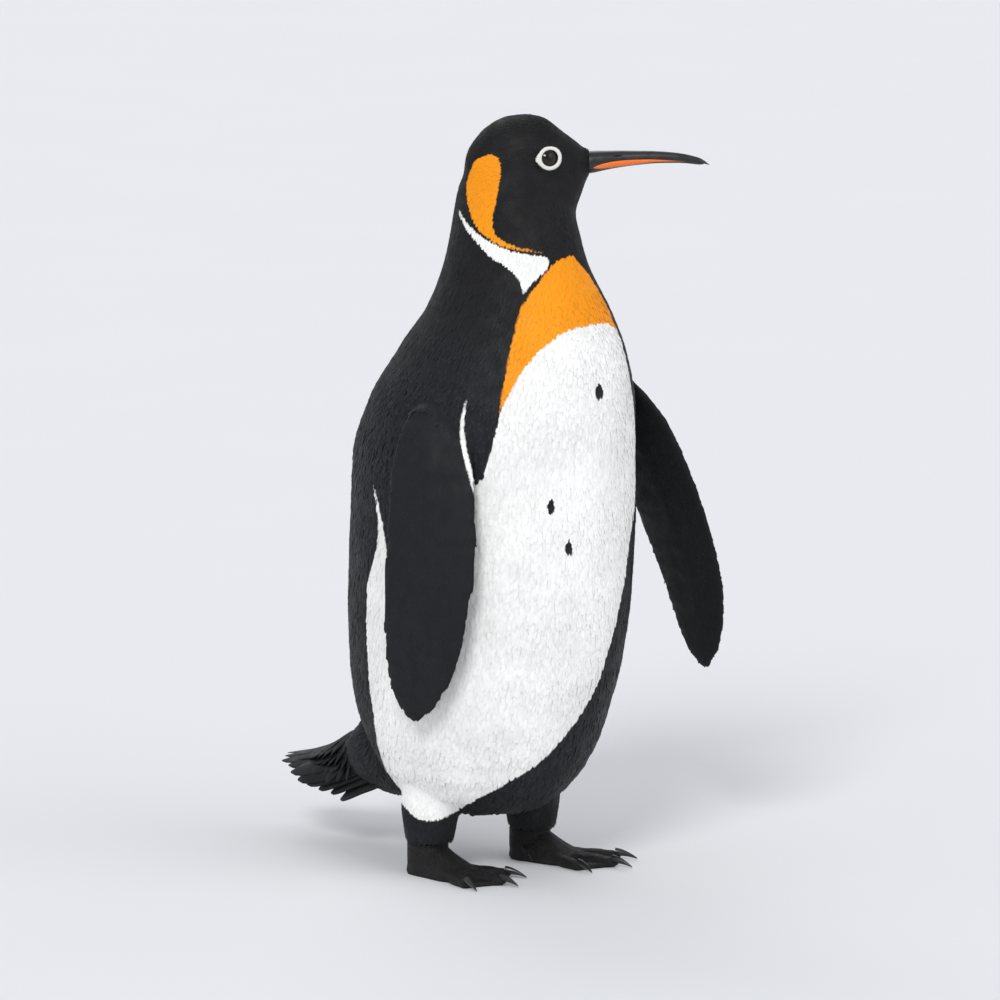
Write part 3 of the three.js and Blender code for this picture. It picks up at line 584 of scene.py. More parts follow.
def curved_outline(points, steps=5):
    """A smooth closed curve through the points."""
    p = np.asarray(points, float)
    t = np.linspace(0, 1, steps, endpoint=False)[:, None]
    made = []
    for i in range(len(p)):
        a, b, c, d = (p[(i + k) % len(p)] for k in (-1, 0, 1, 2))
        made.append(0.5 * (2 * b + (c - a) * t + (2 * a - 5 * b + 4 * c - d) * t ** 2
                           + (3 * b - a - 3 * c + d) * t ** 3))
    return np.vstack(made)


def in_view(points):
    """Where the points lie on the plane of the quarter view."""
    offset = points - VIEW_TARGET
    scale = VIEW_DISTANCE / (VIEW_DISTANCE - offset @ TO_CAMERA)
    plane = np.stack((offset @ VIEW_RIGHT, offset @ VIEW_UP), axis=1)
    return VIEW_AIM + (plane - VIEW_AIM) * scale[:, None]


def trunk_at(points):
    """Share of the way from the trunk's middle to its surface, the angle from the breast, the radius."""
    rows = smooth_rows(TRUNK, points[:, 2])
    across, forward = points[:, 0], points[:, 1] - rows[:, 1]
    deep = np.where(forward < 0, rows[:, 3], rows[:, 4])
    share = np.sqrt((across / rows[:, 2]) ** 2 + (forward / deep) ** 2)
    return share, np.degrees(np.arctan2(across, -forward)), (rows[:, 2] + deep) / 2


def right_side(points):
    """Each point, or its mirror image on the bird's right side; the head's turn twists the neck."""
    turned = smoothstep(690, 775, points[:, 2])
    rows = smooth_rows(TRUNK, points[:, 2])
    middle = np.stack((turned * HEAD_CENTRE[0],
                       rows[:, 1] * (1 - turned) + HEAD_CENTRE[1] * turned), axis=1)
    facing = np.radians(-HEAD_TURN) * turned
    offset = points[:, :2] - middle
    radius = np.linalg.norm(offset, axis=1)
    angle = np.arctan2(offset[:, 0], -offset[:, 1]) - facing
    angle = (angle + math.pi) % (2 * math.pi) - math.pi
    own_left = angle > 0
    angle = facing - np.abs(angle)
    mirrored = points.copy()
    mirrored[:, 0] = middle[:, 0] + radius * np.sin(angle)
    mirrored[:, 1] = middle[:, 1] - radius * np.cos(angle)
    return mirrored, np.cos(angle - VIEW_TURN), own_left


def head_markings(points, angle, radius):
    """Distances inside the ear patch and inside the crescent below it."""
    mirrored, seen, own_left = right_side(points)
    plane = in_view(mirrored)
    facing = np.where(seen > 0.02, 0.0, OUTSIDE)
    ear = inside_depth(plane, curved_outline(EAR_OUTLINE)) + facing
    crescent = inside_depth(plane, curved_outline(NECK_OUTLINE)) + facing
    # On the left the crescent is a little wider and stops short of the breast.
    behind = (angle - 40.0) * math.pi / 180 * radius
    return ear, np.where(own_left & (angle > -60), np.minimum(crescent + 1.2, behind), crescent)


def white_end(points, share):
    """Distance inside the white's lower end, on the belly and on the top of the right leg."""
    leg = (share > ON_TRUNK) & (points[:, 0] < 0)
    middle = np.where(leg[:, None], LEG_MIDDLE, BODY_MIDDLE)
    toward = (points[:, :2] - middle) @ TO_CAMERA[:2]
    in_front = (toward > np.where(leg, -WHITE_BEHIND_LEG, 0)) & ((share < ON_TRUNK) | leg)
    around = np.degrees(np.arctan2(points[:, 0], BODY_MIDDLE[1] - points[:, 1]))
    rear = np.where(leg, INSIDE, around + WHITE_END_ANGLE)
    end = np.minimum(inside_depth(in_view(points), curved_outline(WHITE_END, 3)), rear)
    return np.where(in_front, end, OUTSIDE)


def markings(points, plain):
    """Distances inside the gold and inside the white, in millimetres, and the share of slate."""
    share, angle, radius = trunk_at(points)
    height, out = points[:, 2], np.abs(points[:, 0])
    left = (np.interp(height, *np.array(WHITE_LEFT, float).T) - angle) * math.pi / 180 * radius
    right = (np.interp(height, *np.array(WHITE_RIGHT, float).T) + angle) * math.pi / 180 * radius
    top = np.interp(out, *np.array(WHITE_TOP, float).T)

    gold, ring = np.full((2, len(points)), OUTSIDE)
    front = (height > 530) & (height < 725) & (points[:, 1] < -60)
    breast = np.vstack((BREAST_TOP, BREAST_FOOT[-2::-1], ((-20, 638), (-20, 712))))
    gold[front] = inside_depth(np.stack((out[front], height[front]), axis=1), breast)
    gold = np.minimum(gold, left)
    high = height > 640
    ear, ring[high] = head_markings(points[high], angle[high], radius[high])
    gold[high] = np.maximum(gold[high], ear)

    white = np.minimum(np.minimum(left, right), top - height)
    foot = height < WHITE_END_HEIGHT
    white[foot] = white_end(points[foot], share[foot])
    spot = in_view(points)
    flank = (angle < -40) & (height > 300) & (height < 600)
    # Painted shade: dark behind the right wing's rear edge, where the back's black reaches forward under it.
    white[flank] = np.minimum(white[flank], -inside_depth(spot[flank], WING_SHADE))
    # Painted highlight: a pale line along the right wing's leading edge, on the body and on the wing.
    white[flank] = np.maximum(white[flank], inside_depth(spot[flank], curved_outline(WING_HIGHLIGHT_LINE, 3)))
    white = np.maximum(white, ring)
    for x, y in FLECKS:
        up = (spot[:, 1] - y) / FLECK["half_height"]
        wide = FLECK["point"] + FLECK["half_width"] * smoothstep(1.25, -0.2, up)
        fleck = 6 * (1 - np.hypot((spot[:, 0] - x) / wide, up))
        white = np.where(points[:, 1] < -40, np.minimum(white, -fleck), white)
    slate = smoothstep(700, 560, height) * 0.9
    return np.stack((np.where(plain, OUTSIDE, gold), np.where(plain, OUTSIDE, white), slate), axis=1)

# ---- one skin for all the flesh ----

FLESH = ("head", "ear_patch_left", "ear_patch_right", "neck", "breast_patch", "belly", "back",
         "flipper_left", "flipper_right", "leg_left", "leg_right")
SKIN_GRAIN = 0.0035
GAP_CLOSER = 0.0004
FLIPPER_GROWTH = 0.06
BROW_HOLLOW = 0.10
# Where the flippers stand clear of the body: out from its middle, and ahead of this line.
WING_OUT = 95
WING_REAR = 60
# Below this height there is nothing but legs and feet.
ANKLE = 60
# A share of the way out that is far from any form.
NOWHERE = 9

tail_axis = unit(TAIL_TIP - TAIL_ROOT)
TAIL_LENGTH = float(np.linalg.norm(TAIL_TIP - TAIL_ROOT))
tail_rise = np.array((0.0, -tail_axis[2], tail_axis[1]))


def tail_points(along, across, up):
    along, across, up = np.broadcast_arrays(along, across, up)
    return (TAIL_ROOT + along[..., None] * tail_axis + up[..., None] * tail_rise
            + across[..., None] * np.array((1.0, 0.0, 0.0)))


def tail_core(shrink):
    """The flesh that the tail's feathers stand on."""
    places = np.linspace(0, TAIL_CORE[-1, 0], 14)
    rows = smooth_rows(TAIL_CORE, places)
    angle = circle(28)
    up = np.where(np.sin(angle) < 0, rows[:, 3:4], rows[:, 2:3]) - shrink
    side = np.maximum(rows[:, 1:2] - shrink, 2)
    points = tail_points(rows[:, :1] * TAIL_LENGTH, side * np.cos(angle), np.maximum(up, 1.2) * np.sin(angle))
    return facing_out(mesh_object("tail_core", placed(points.reshape(-1, 3)), loft_faces(14, 28)))


def body_skin():
    whole = bmesh.new()
    for name in FLESH:
        part = packed_mesh(name, GAP_CLOSER)
        whole.from_mesh(part)
        bpy.data.meshes.remove(part)
    core = tail_core(1.0)
    whole.from_mesh(core.data)
    bpy.data.objects.remove(core)
    mesh = bpy.data.meshes.new("skin")
    whole.to_mesh(mesh)
    whole.free()
    return remeshed(mesh, SKIN_GRAIN, "skin")


REGIONS = {name: number for number, name in enumerate((
    "none", "back", "belly", "breast", "neck", "head", "face", "flipper_left", "flipper_right", "legs",
    "rump", "mantle"))}
# Each region's feathers: spacing, length, width, lift in degrees, depth of the coat, all else in mm.
LENGTH, DEPTH = 1, 4
PLUMES = {
    "back": (3.55, 15.0, 5.6, 5.5, 1.6),
    "belly": (3.1, 14.5, 4.9, 5.0, 1.6),
    "breast": (2.8, 11.0, 4.3, 6.0, 1.4),
    "mantle": (3.1, 12.5, 4.8, 5.5, 1.5),
    "neck": (2.3, 8.5, 3.5, 6.0, 1.3),
    "head": (1.9, 6.0, 2.8, 7.0, 1.0),
    "face": (1.45, 3.8, 2.0, 7.0, 0.7),
    "flipper_left": (2.2, 4.8, 3.1, 4.5, 0.5),
    "flipper_right": (2.2, 4.8, 3.1, 4.5, 0.5),
    "legs": (2.3, 7.0, 3.1, 8.0, 1.1),
    "rump": (3.1, 14.0, 5.2, 5.0, 1.5),
}
# Where one region gives way to the next, in millimetres: heights up the body, the plane between neck
# and head, distances ahead of the head's middle and round the eye, and places along the tail.
MANTLE_FOOT, NECK_FOOT, BREAST_TOP_HEIGHT = 520, 675, 712
HEAD_PLANE = {"point": (0, -52.0, 756.0), "lean": math.radians(24)}
FACE = {"ahead": 34, "round_eye": 20, "bill_root": 65.4, "bare_round_eye": 12.6, "beside": 20}
LEG_TOP = 134
HEM = {"height": 39.5, "wave": 2.2}
RUMP = {"behind": 88, "top": 230, "end_below": 0.6, "end_above": 0.5}
WING_HEIGHTS = (185, 610)


def regions_of(points):
    """The region of each place on the skin."""
    share = trunk_at(points)[0]
    x, y, z = points.T
    ahead, beside, up = head_frame(points).T
    lean, turn = HEAD_PLANE["lean"], math.radians(HEAD_TURN)
    over = (points - np.array(HEAD_PLANE["point"])) @ unit(np.array((
        math.sin(lean) * math.cos(turn), math.sin(lean) * math.sin(turn), math.cos(lean))))
    outside = (share > ON_TRUNK) | (z < ANKLE)
    gold, white, _ = markings(points, outside & (z < 640)).T
    eye_gap = np.hypot(ahead - EYE["x"], up - EYE["z"])
    rump = outside & (y > RUMP["behind"]) & (z < RUMP["top"])
    along, rise = (points - TAIL_ROOT) @ tail_axis, (points - TAIL_ROOT) @ tail_rise
    rump_end = np.interp(rise, (-30.0, 0.0), (RUMP["end_below"], RUMP["end_above"])) * TAIL_LENGTH
    wing = outside & (z > WING_HEIGHTS[0]) & (z < WING_HEIGHTS[1]) & (y < WING_REAR)
    kind = np.full(len(points), REGIONS["back"])
    # Each later line takes its place from the ones before it.
    for name, here in (
            ("belly", white > -4),
            ("mantle", z > MANTLE_FOOT),
            ("neck", z > NECK_FOOT),
            ("breast", (gold > -4) & (z < BREAST_TOP_HEIGHT)),
            ("head", over > 0),
            ("face", (over > 0) & ((ahead > FACE["ahead"]) | (eye_gap < FACE["round_eye"]))),
            ("none", (over > 0) & ((ahead > FACE["bill_root"])
                                   | (eye_gap < FACE["bare_round_eye"]) & (np.abs(beside) > FACE["beside"]))),
            ("legs", (z < LEG_TOP) & ((share > 1.035) | (z < ANKLE)) & (y < 70)),
            ("none", z < HEM["height"] + HEM["wave"] * np.sin(0.33 * x + 1.0) * np.cos(0.29 * y)),
            ("rump", rump),
            ("none", rump & (along > rump_end)),
            ("flipper_left", wing & (x > WING_OUT)),
            ("flipper_right", wing & (x < -WING_OUT))):
        kind[here] = REGIONS[name]
    return kind


def lie_of(points, kind):
    """The way the feathers point, before it is laid onto the skin."""
    lie = np.tile((0.0, 0.16, -1.0), (len(points), 1))
    back_of_head = HEAD_AXES @ np.array((-1.0, 0.0, -0.42))
    on = smoothstep(735, 800, points[:, 2])[:, None]
    lie = lie * (1 - on) + back_of_head * on
    for name in SIDES:
        spine = np.array(FLIPPER_SPINES[name], float)
        run = np.gradient(spine, axis=0)
        here = kind == REGIONS["flipper_" + name]
        for k in range(3):
            lie[here, k] = np.interp(points[here, 2], spine[::-1, 2], run[::-1, k])
        lie[here] = unit(lie[here]) + np.array((0.0, 0.03, 0.0))
    rump = kind == REGIONS["rump"]
    blend = smoothstep(95, 150, points[rump, 1])[:, None]
    lie[rump] = lie[rump] * (1 - blend) + tail_axis * blend
    return lie


def fitted(values, low, high, start, reach):
    """Values between low and high, spread over a stretch of the map."""
    return start + (values - low) / (high - low) * reach


def lap(points, x, y, near=None):
    """Turns round an upright line, on the same lap as the near ones."""
    turn = np.arctan2(points[:, 0] - x, -(points[:, 1] - y)) / (2 * math.pi)
    return turn if near is None else near + (turn - near + 0.5) % 1.0 - 0.5


def skin_unwrap(mesh, points, kind_of_face):
    """An unwrap of the skin by angle and height, with the flippers, legs and rump beside the body."""
    faces = mesh.polygons
    face_of_loop = np.repeat(np.arange(len(faces)), read(faces, "loop_total", 1, np.int32))
    corner = points[read(mesh.loops, "vertex_index", 1, np.int32)]
    middle = (read(faces, "center", 3) / MM - SHIFT)[face_of_loop]
    kind = kind_of_face[face_of_loop]

    lean = smoothstep(740, 800, middle[:, 2])
    x, y = HEAD_CENTRE[0] * lean, -52 + (HEAD_CENTRE[1] + 52) * lean
    turn = lap(corner, x, y, lap(middle, x, y))
    far = np.hypot(corner[:, 0] - x, corner[:, 1] - y)
    high = corner[:, 2]
    crown, floor = 835.0, 120.0
    rise = np.where(high > crown, crown + 60 - far * 0.9 + (high - crown) * 0.3, high)
    rise = np.where(high < floor, floor - 150 + far, rise)
    uv = np.stack((fitted(turn, -0.5, 0.5, 0.02, 0.66), fitted(rise, -60, 920, 0.03, 0.94)), axis=1)
    for name, left in (("left", 0.71), ("right", 0.86)):
        here = kind == REGIONS["flipper_" + name]
        spine = np.array(FLIPPER_SPINES[name])[::-1]
        inner = middle[here, 0] <= np.interp(middle[here, 2], spine[:, 2], spine[:, 0])
        across = np.clip((corner[here, 1] + 170) / 150 * 0.06, 0, 0.062)
        uv[here, 0] = left + np.where(inner, 0.068, 0.0) + across
        uv[here, 1] = fitted(high[here], 180, 640, 0.5, 0.48)
    legs, rump = kind == REGIONS["legs"], kind == REGIONS["rump"]
    right = middle[legs, 0] < 0
    x = np.where(right, -71, 71)
    turn = lap(corner[legs], x, 0.0, lap(middle[legs], x, 0.0))
    uv[legs, 0] = fitted(turn, -0.5, 0.5, 0.72, 0.12) + np.where(right, 0.0, 0.13)
    uv[legs, 1] = fitted(high[legs], 30, 140, 0.03, 0.14)
    below = middle[rump, 2] <= np.interp(middle[rump, 1], (92, 312), (132, 84))
    uv[rump, 0] = fitted(corner[rump, 0], -80, 80, 0.72, 0.12) + np.where(below, 0.13, 0.0)
    uv[rump, 1] = fitted(corner[rump, 1], 60, 320, 0.2, 0.25)
    set_bake_map(mesh, np.clip(uv, 0.002, 0.995))


def onto_form(points, share, centre, axis):
    """Points near a smooth form drawn onto it along the line from its middle."""
    weight = smoothstep(0.05, 0.025, np.abs(share - 1.0))[:, None]
    scale = (1.0 / np.maximum(share, 0.2))[:, None]
    offset = points - centre
    along = (offset @ axis)[:, None] * axis
    return points + weight * (along + (offset - along) * scale - offset)


def head_share(points):
    """How far out each point lies on the head's own sections, and the middle of its section."""
    local = head_frame(points)
    rows = smooth_rows(HEAD, local[:, 0])
    high = local[:, 2] - rows[:, 1]
    reach = np.where(high > 0, rows[:, 3], rows[:, 4])
    share = np.sqrt((local[:, 1] / rows[:, 2]) ** 2 + (high / reach) ** 2)
    share[(local[:, 0] < -66) | (local[:, 0] > 64)] = NOWHERE
    middle = np.stack((local[:, 0], np.zeros(len(points)), rows[:, 1]), axis=1)
    return share, from_head(middle)


def without_marks(points, kind):
    """The places that stay dark all over."""
    left_leg = (kind == REGIONS["legs"]) & (points[:, 0] > 0)
    return left_leg | (kind == REGIONS["rump"]) | (kind == REGIONS["none"]) & (points[:, 2] < 300)


def fair_edge(height, reach):
    """A scale at each point that draws the outermost points along an edge onto a fair curve."""
    steps = np.arange(height.min(), height.max() + 4, 4.0)
    edge = np.array([reach[np.abs(height - z) < 3.0].max(initial=0.0) for z in steps])
    fair = edge.copy()
    for i, z in enumerate(steps):
        near = (np.abs(steps - z) < 34) & (edge > 4)
        if near.sum() > 6:
            closeness = 1 - np.abs(steps[near] - z) / 36
            fair[i] = np.polyval(np.polyfit(steps[near] - z, edge[near], 2, w=closeness), 0.0)
    scale = np.where(edge > 4, fair / np.maximum(edge, 1), 1.0)
    return np.clip(np.interp(height, steps, scale), 0.9, 1.12)


def wing_frame(points, name):
    """How far each point lies from the flipper's middle along its breadth and out through it."""
    spine = np.array(FLIPPER_SPINES[name], float)[::-1]
    middle = smooth_rows(spine[:, (2, 0, 1)], points[:, 2])[:, (1, 2)]
    turn, side = math.radians(FLIPPER_TURNS[name]), SIDES[name]
    breadth = np.array((-side * math.sin(turn), side * math.cos(turn)))
    outward = np.array((side * math.cos(turn), side * math.sin(turn)))
    return (points[:, :2] - middle) @ breadth, (points[:, :2] - middle) @ outward, breadth


def broad_flippers(points):
    """The flippers a little broader across, by what the skin loses along their thin edges."""
    share = trunk_at(points)[0]
    for name, side in SIDES.items():
        reach, _, breadth = wing_frame(points, name)
        height = points[:, 2]
        clear = (points[:, 0] * side > WING_OUT) & (points[:, 1] < WING_REAR)
        weight = smoothstep(1.05, 1.22, share) * smoothstep(172, 186, height)
        growth = FLIPPER_GROWTH * (weight * (smoothstep(610, 560, height) * clear))
        blade = clear & (share > 1.04) & (np.abs(reach) < 80) & (height > 180) & (height < 560)
        for edge in (-1, 1):
            here = np.flatnonzero(blade & (reach * edge > 0))
            fair = fair_edge(height[here], reach[here] * edge) - 1
            growth[here] += fair * smoothstep(196, 212, height[here]) * smoothstep(560, 530, height[here])
        points[:, :2] += (growth * reach)[:, None] * breadth
    return points


def hollowed_brow(points):
    """The brow drawn in a little between the crown and the root of the bill."""
    local = head_frame(points)
    middle = smooth_rows(HEAD, local[:, 0])[:, 1]
    high = local[:, 2] - middle
    brow = band(local[:, 0], (20, 44), (70, 57)) * (high > 0) * (np.abs(local[:, 1]) < 60)
    local[:, 2] = middle + high * (1 - BROW_HOLLOW * brow)
    return from_head(local)


def shape_skin(mesh):
    """The remeshed flesh drawn back onto its own sections and smoothed where the solids meet."""
    relaxed(mesh, 8)
    points = bird_points(mesh)
    height = points[:, 2]
    share = trunk_at(points)[0]
    share[(height < 140) | (height > 735)] = NOWHERE
    centre = np.stack((np.zeros(len(points)), smooth_rows(TRUNK, height)[:, 1], height), axis=1)
    points = onto_form(points, share, centre, np.array((0.0, 0.0, 1.0)))
    set_bird_points(mesh, onto_form(points, *head_share(points), HEAD_AXES[:, 0]))
    relaxed(mesh, 3)
    neck_seam = band(bird_points(mesh)[:, 2], (690, 740), (822, 785))
    relaxed(mesh, 34, neck_seam, True)
    points = bird_points(mesh)
    height = points[:, 2]
    ahead, beside, up = head_frame(points).T
    leg_root = band(height, (66, 86), (165, 130)) * smoothstep(125, 95, points[:, 1])
    crown = band(ahead, (-24, -6), (46, 30)) * smoothstep(14, 26, up) * (np.abs(beside) < 60)
    blade = smoothstep(1.03, 1.12, trunk_at(points)[0]) * smoothstep(180, 190, height)
    relaxed(mesh, 14, leg_root, True)
    relaxed(mesh, 26, crown, True)
    relaxed(mesh, 46, blade * smoothstep(600, 570, height))
    points = hollowed_brow(broad_flippers(bird_points(mesh)))
    set_bird_points(mesh, points)
    return points


def in_folds(mesh, points):
    """How far each place lies in a hollow between two forms, in millimetres."""
    return np.sum((evened(mesh, points, 24) - points) * mesh_normals(mesh), axis=1)


def coat_size(mesh, points, kind, length, grown):
    """Feathers as long as the regions around ask, and smaller in folds and on the flippers' ridges."""
    folds = in_folds(mesh, points)
    on_wing = (kind == REGIONS["flipper_left"]) | (kind == REGIONS["flipper_right"])
    under_tail = (points[:, 2] < 130) & (points[:, 1] > 50)
    size = np.clip(grown / length, 0.55, 1.35)
    size *= 1 - 0.34 * smoothstep(0.6, 3.0, folds) * (points[:, 2] > ANKLE)
    size *= 1 - 0.4 * smoothstep(0.4, 2.0, folds) * under_tail
    size *= 1 - 0.36 * smoothstep(-0.7, -2.2, folds) * on_wing
    return size


def round_the_eye(points, side):
    """Distances ahead of the eye, above it and out to its side, and the way from its middle."""
    ahead, beside, up = head_frame(points).T
    ahead, up = ahead - EYE["x"], up - EYE["z"]
    return ahead, up, beside * side, np.hypot(ahead, up)


def cheek_form(points, side):
    """The head's own surface round the eye, as a smooth sheet through the skin there."""
    ahead, up, out, gap = round_the_eye(points, side)
    near = (gap > 12.5) & (gap < 21) & (out > 15)
    a, b = ahead[near], up[near]
    terms = np.stack((np.ones(len(a)), a, b, a * a, b * b, a * b), axis=1)
    return np.linalg.lstsq(terms, out[near], rcond=None)[0]


def cheek_height(form, a, b):
    return form[0] + form[1] * a + form[2] * b + form[3] * a * a + form[4] * b * b + form[5] * a * b


def flat_behind_eyes(points):
    """The skin drawn in flat behind the eyeballs, which stand before it."""
    local = head_frame(points)
    for side in SIDES.values():
        _, _, out, gap = round_the_eye(points, side)
        share = smoothstep(12.4, 10.2, gap) * (out > 12) * (gap < 13)
        local[:, 1] = local[:, 1] * (1 - share) + side * 30.0 * share
    return from_head(local)


def flipper_markings(points, name):
    """Dark all over, with a thin pale line near the leading edge of the right one, which is a painted
    highlight.
    """
    marks = np.tile((OUTSIDE, OUTSIDE, 0.8), (len(points), 1))
    if name == "right":
        line = inside_depth(in_view(points), curved_outline(WING_HIGHLIGHT_LINE, 3))
        marks[:, 1] = np.where(wing_frame(points, name)[1] > -1, line, OUTSIDE)
    return marks


def marks_of(points, kind, plain):
    found = markings(points, plain)
    for name in SIDES:
        here = kind == REGIONS["flipper_" + name]
        if here.any():
            found[here] = flipper_markings(points[here], name)
    return found


skin = body_skin()
mesh = skin.data
points = shape_skin(mesh)
kind = regions_of(points)
plain = without_marks(points, kind)
length, depth = np.where(points[:, 2] < ANKLE, 7.0, 4.0), np.ones(len(points))
for name, plume in PLUMES.items():
    length[kind == REGIONS[name]] = plume[LENGTH]
    depth[kind == REGIONS[name]] = plume[DEPTH]
hem = smoothstep(56, 39, points[:, 2])
depth = evened(mesh, depth, 12) * (1 - hem) + 0.15 * hem
grown = evened(mesh, length, 30)
size = coat_size(mesh, points, kind, length, grown)
set_bird_points(mesh, points - mesh_normals(mesh) * depth[:, None])
points = bird_points(mesh)
CHEEKS = {side: cheek_form(points, side) for side in SIDES.values()}
points = flat_behind_eyes(points)
set_bird_points(mesh, points)
normals = mesh_normals(mesh)
lie = lie_of(points, kind)
lie = unit(lie - normals * np.sum(lie * normals, axis=1, keepdims=True))
face_kind = regions_of(read(mesh.polygons, "center", 3) / MM - SHIFT)
# A feather shows most of itself this share of its length below its root.
shown_at = points + lie * (grown * 0.68)[:, None]
store(mesh, "lie", "FLOAT_VECTOR", "POINT", lie)
store(mesh, "size", "FLOAT", "POINT", size)
store(mesh, "marks", "FLOAT_VECTOR", "POINT", marks_of(points, kind, plain))
store(mesh, "coat_marks", "FLOAT_VECTOR", "POINT", marks_of(shown_at, kind, plain))
store(mesh, "region", "INT", "FACE", face_kind)
skin_unwrap(mesh, points, face_kind)
mesh.materials.clear()
mesh.materials.append(SKIN_FINISH)

# ---- feathers ----

# The size of one feather's patch on the map, and how far feathers stray from the lie, in degrees.
PATCH = (0.0015, 0.003, 0.0)
STRAY = {"flipper_left": 4.0, "flipper_right": 4.0}
USUAL_STRAY = 8.0


def feather_form(name, stations, ridge, droop):
    """A thin closed vane, one long and one wide, its root at the origin and its tip along +Y."""
    points, vane = [], []
    for y, half in stations:
        edge = -droop * (half / 0.5) ** 2 - 0.10 * y * y
        rib = edge + droop * (half / 0.5) ** 2 + ridge * (1 - 0.6 * y)
        points += [(-half, y, edge), (0, y, rib), (half, y, edge)]
        vane += [(-half * 2, y, 0), (0, y, 0), (half * 2, y, 0)]
    faces = [(0, 1, 2)]
    for a in range(0, 3 * len(stations) - 3, 3):
        b = a + 3
        faces += [(a, b, b + 1, a + 1), (a + 1, b + 1, b + 2, a + 2), (a, a + 2, b + 2, b)]
    tip, last = len(points), len(points) - 3
    faces += [(last, tip, last + 1), (last + 1, tip, last + 2), (last, last + 2, tip)]
    piece = mesh_object(name, points + [(0, 1, -0.14)], faces)
    smoothed_by_angle(facing_out(piece), 50)
    store(piece.data, "vane", "FLOAT_VECTOR", "POINT", np.array(vane + [(0, 1, 0)]))
    piece.hide_render = True
    return piece


LONG_FEATHER = feather_form("feather_long", ((0.0, 0.14), (0.45, 0.46), (0.84, 0.38)), 0.035, 0.055)
SHORT_FEATHER = feather_form("feather_short", ((0.0, 0.22), (0.66, 0.48)), 0.04, 0.06)


def coat_tree():
    """Feathers scattered over one region of a skin, each laid along the lie of the coat."""
    tree, n, given, out = node_group(
        "coat_of_feathers", "GeometryNodeTree",
        {"Geometry": "Geometry", "Feather": "Object", "Finish": "Material", "Region": "Int",
         "Spacing": "Float", "Length": "Float", "Width": "Float", "Lift": "Float", "Stray": "Float",
         "Seed": "Int"}, {"Geometry": "Geometry"})

    def named(name, kind):
        return n.wired("GeometryNodeInputNamedAttribute", {"Name": name}, "Attribute", data_type=kind)

    def stored(geometry, name, kind, domain, value):
        fed = {"Geometry": geometry, "Name": name, "Value": value}
        return n.wired("GeometryNodeStoreNamedAttribute", fed, "Geometry", data_type=kind, domain=domain)

    def chance(low, high, seed):
        return n.wired("FunctionNodeRandomValue", {2: low, 3: high, "Seed": seed}, 1, data_type="FLOAT")

    here = n.wired("FunctionNodeCompare", {2: named("region", "INT"), 3: given["Region"]},
                   data_type="INT", operation="EQUAL")
    spread = n.new("GeometryNodeDistributePointsOnFaces", distribute_method="POISSON")
    density = n.math("DIVIDE", 1.5, n.times(given["Spacing"], given["Spacing"]))
    for label, value in (("Mesh", given["Geometry"]), ("Selection", here), ("Seed", given["Seed"]),
                         ("Distance Min", given["Spacing"]), ("Density Max", density)):
        n.feed(spread.inputs[label], value)
    roots = stored(spread.outputs["Points"], "tint", "FLOAT", "POINT", chance(0.0, 1.0, 11))
    axes = {"Primary Axis": spread.outputs["Normal"], "Secondary Axis": named("lie", "FLOAT_VECTOR")}
    lying = n.wired("FunctionNodeAxesToRotation", axes, primary_axis="Z", secondary_axis="Y")
    swing = n.joined(n.times(given["Lift"], chance(0.75, 1.25, 5)),
                     n.times(given["Stray"], chance(-0.6, 0.6, 6)),
                     n.times(given["Stray"], chance(-1.0, 1.0, 7)))
    swing = n.wired("FunctionNodeEulerToRotation", {0: swing})
    turned = n.wired("FunctionNodeRotateRotation", {"Rotation": lying, "Rotate By": swing},
                     rotation_space="LOCAL")
    size = named("size", "FLOAT")
    wide, long = n.times(given["Width"], size), n.times(given["Length"], size)
    scale = n.joined(n.times(wide, chance(0.9, 1.12, 8)), n.times(long, chance(0.85, 1.12, 9)), wide)
    model = n.wired("GeometryNodeObjectInfo", {"Object": given["Feather"]}, "Geometry",
                    transform_space="ORIGINAL")
    laid = n.wired("GeometryNodeInstanceOnPoints",
                   {"Points": roots, "Instance": model, "Rotation": turned, "Scale": scale})
    real = n.wired("GeometryNodeRealizeInstances", {"Geometry": laid})
    patch = n.wired("ShaderNodeVectorMath",
                    {0: named("vane", "FLOAT_VECTOR"), 1: PATCH, 2: named("OFBake", "FLOAT_VECTOR")},
                    operation="MULTIPLY_ADD")
    marked = stored(real, "marks", "FLOAT_VECTOR", "POINT", named("coat_marks", "FLOAT_VECTOR"))
    mapped = stored(marked, "OFBake", "FLOAT2", "CORNER", patch)
    dressed = n.wired("GeometryNodeSetMaterial", {"Geometry": mapped, "Material": given["Finish"]})
    n.feed(out["Geometry"], dressed)
    return tree


COAT = coat_tree()


def feathered(region, feather, seed, slot):
    """The coat over one region, as a plain mesh."""
    spacing, long, wide, lift, _ = PLUMES[region]
    host = linked(region + "_host", skin.data.copy())
    coat = host.modifiers.new("coat", "NODES")
    coat.node_group = COAT
    values = {"Feather": feather, "Finish": FEATHER_FINISH, "Region": REGIONS[region],
              "Spacing": spacing * MM, "Length": long * MM, "Width": wide * MM,
              "Lift": math.radians(lift), "Stray": math.radians(STRAY.get(region, USUAL_STRAY)),
              "Seed": seed}
    for item in COAT.interface.items_tree:
        if item.name in values:
            coat[item.identifier] = values[item.name]
    piece = flattened(host, "coat_" + region)
    data = piece.data
    for extra in ("lie", "size", "coat_marks", "region", "id"):
        if extra in data.attributes:
            data.attributes.remove(data.attributes[extra])
    # Each feather takes its colour mostly from where it lies, and partly from where it is rooted.
    places = bird_points(data)
    own = np.full(len(places), REGIONS[region])
    marks = data.attributes["marks"].data
    mixed = 0.6 * marks_of(places, own, without_marks(places, own)) + 0.4 * read(marks, "vector", 3)
    marks.foreach_set("vector", mixed.astype(np.float32).ravel())
    handed_over(shaded(piece), slot)


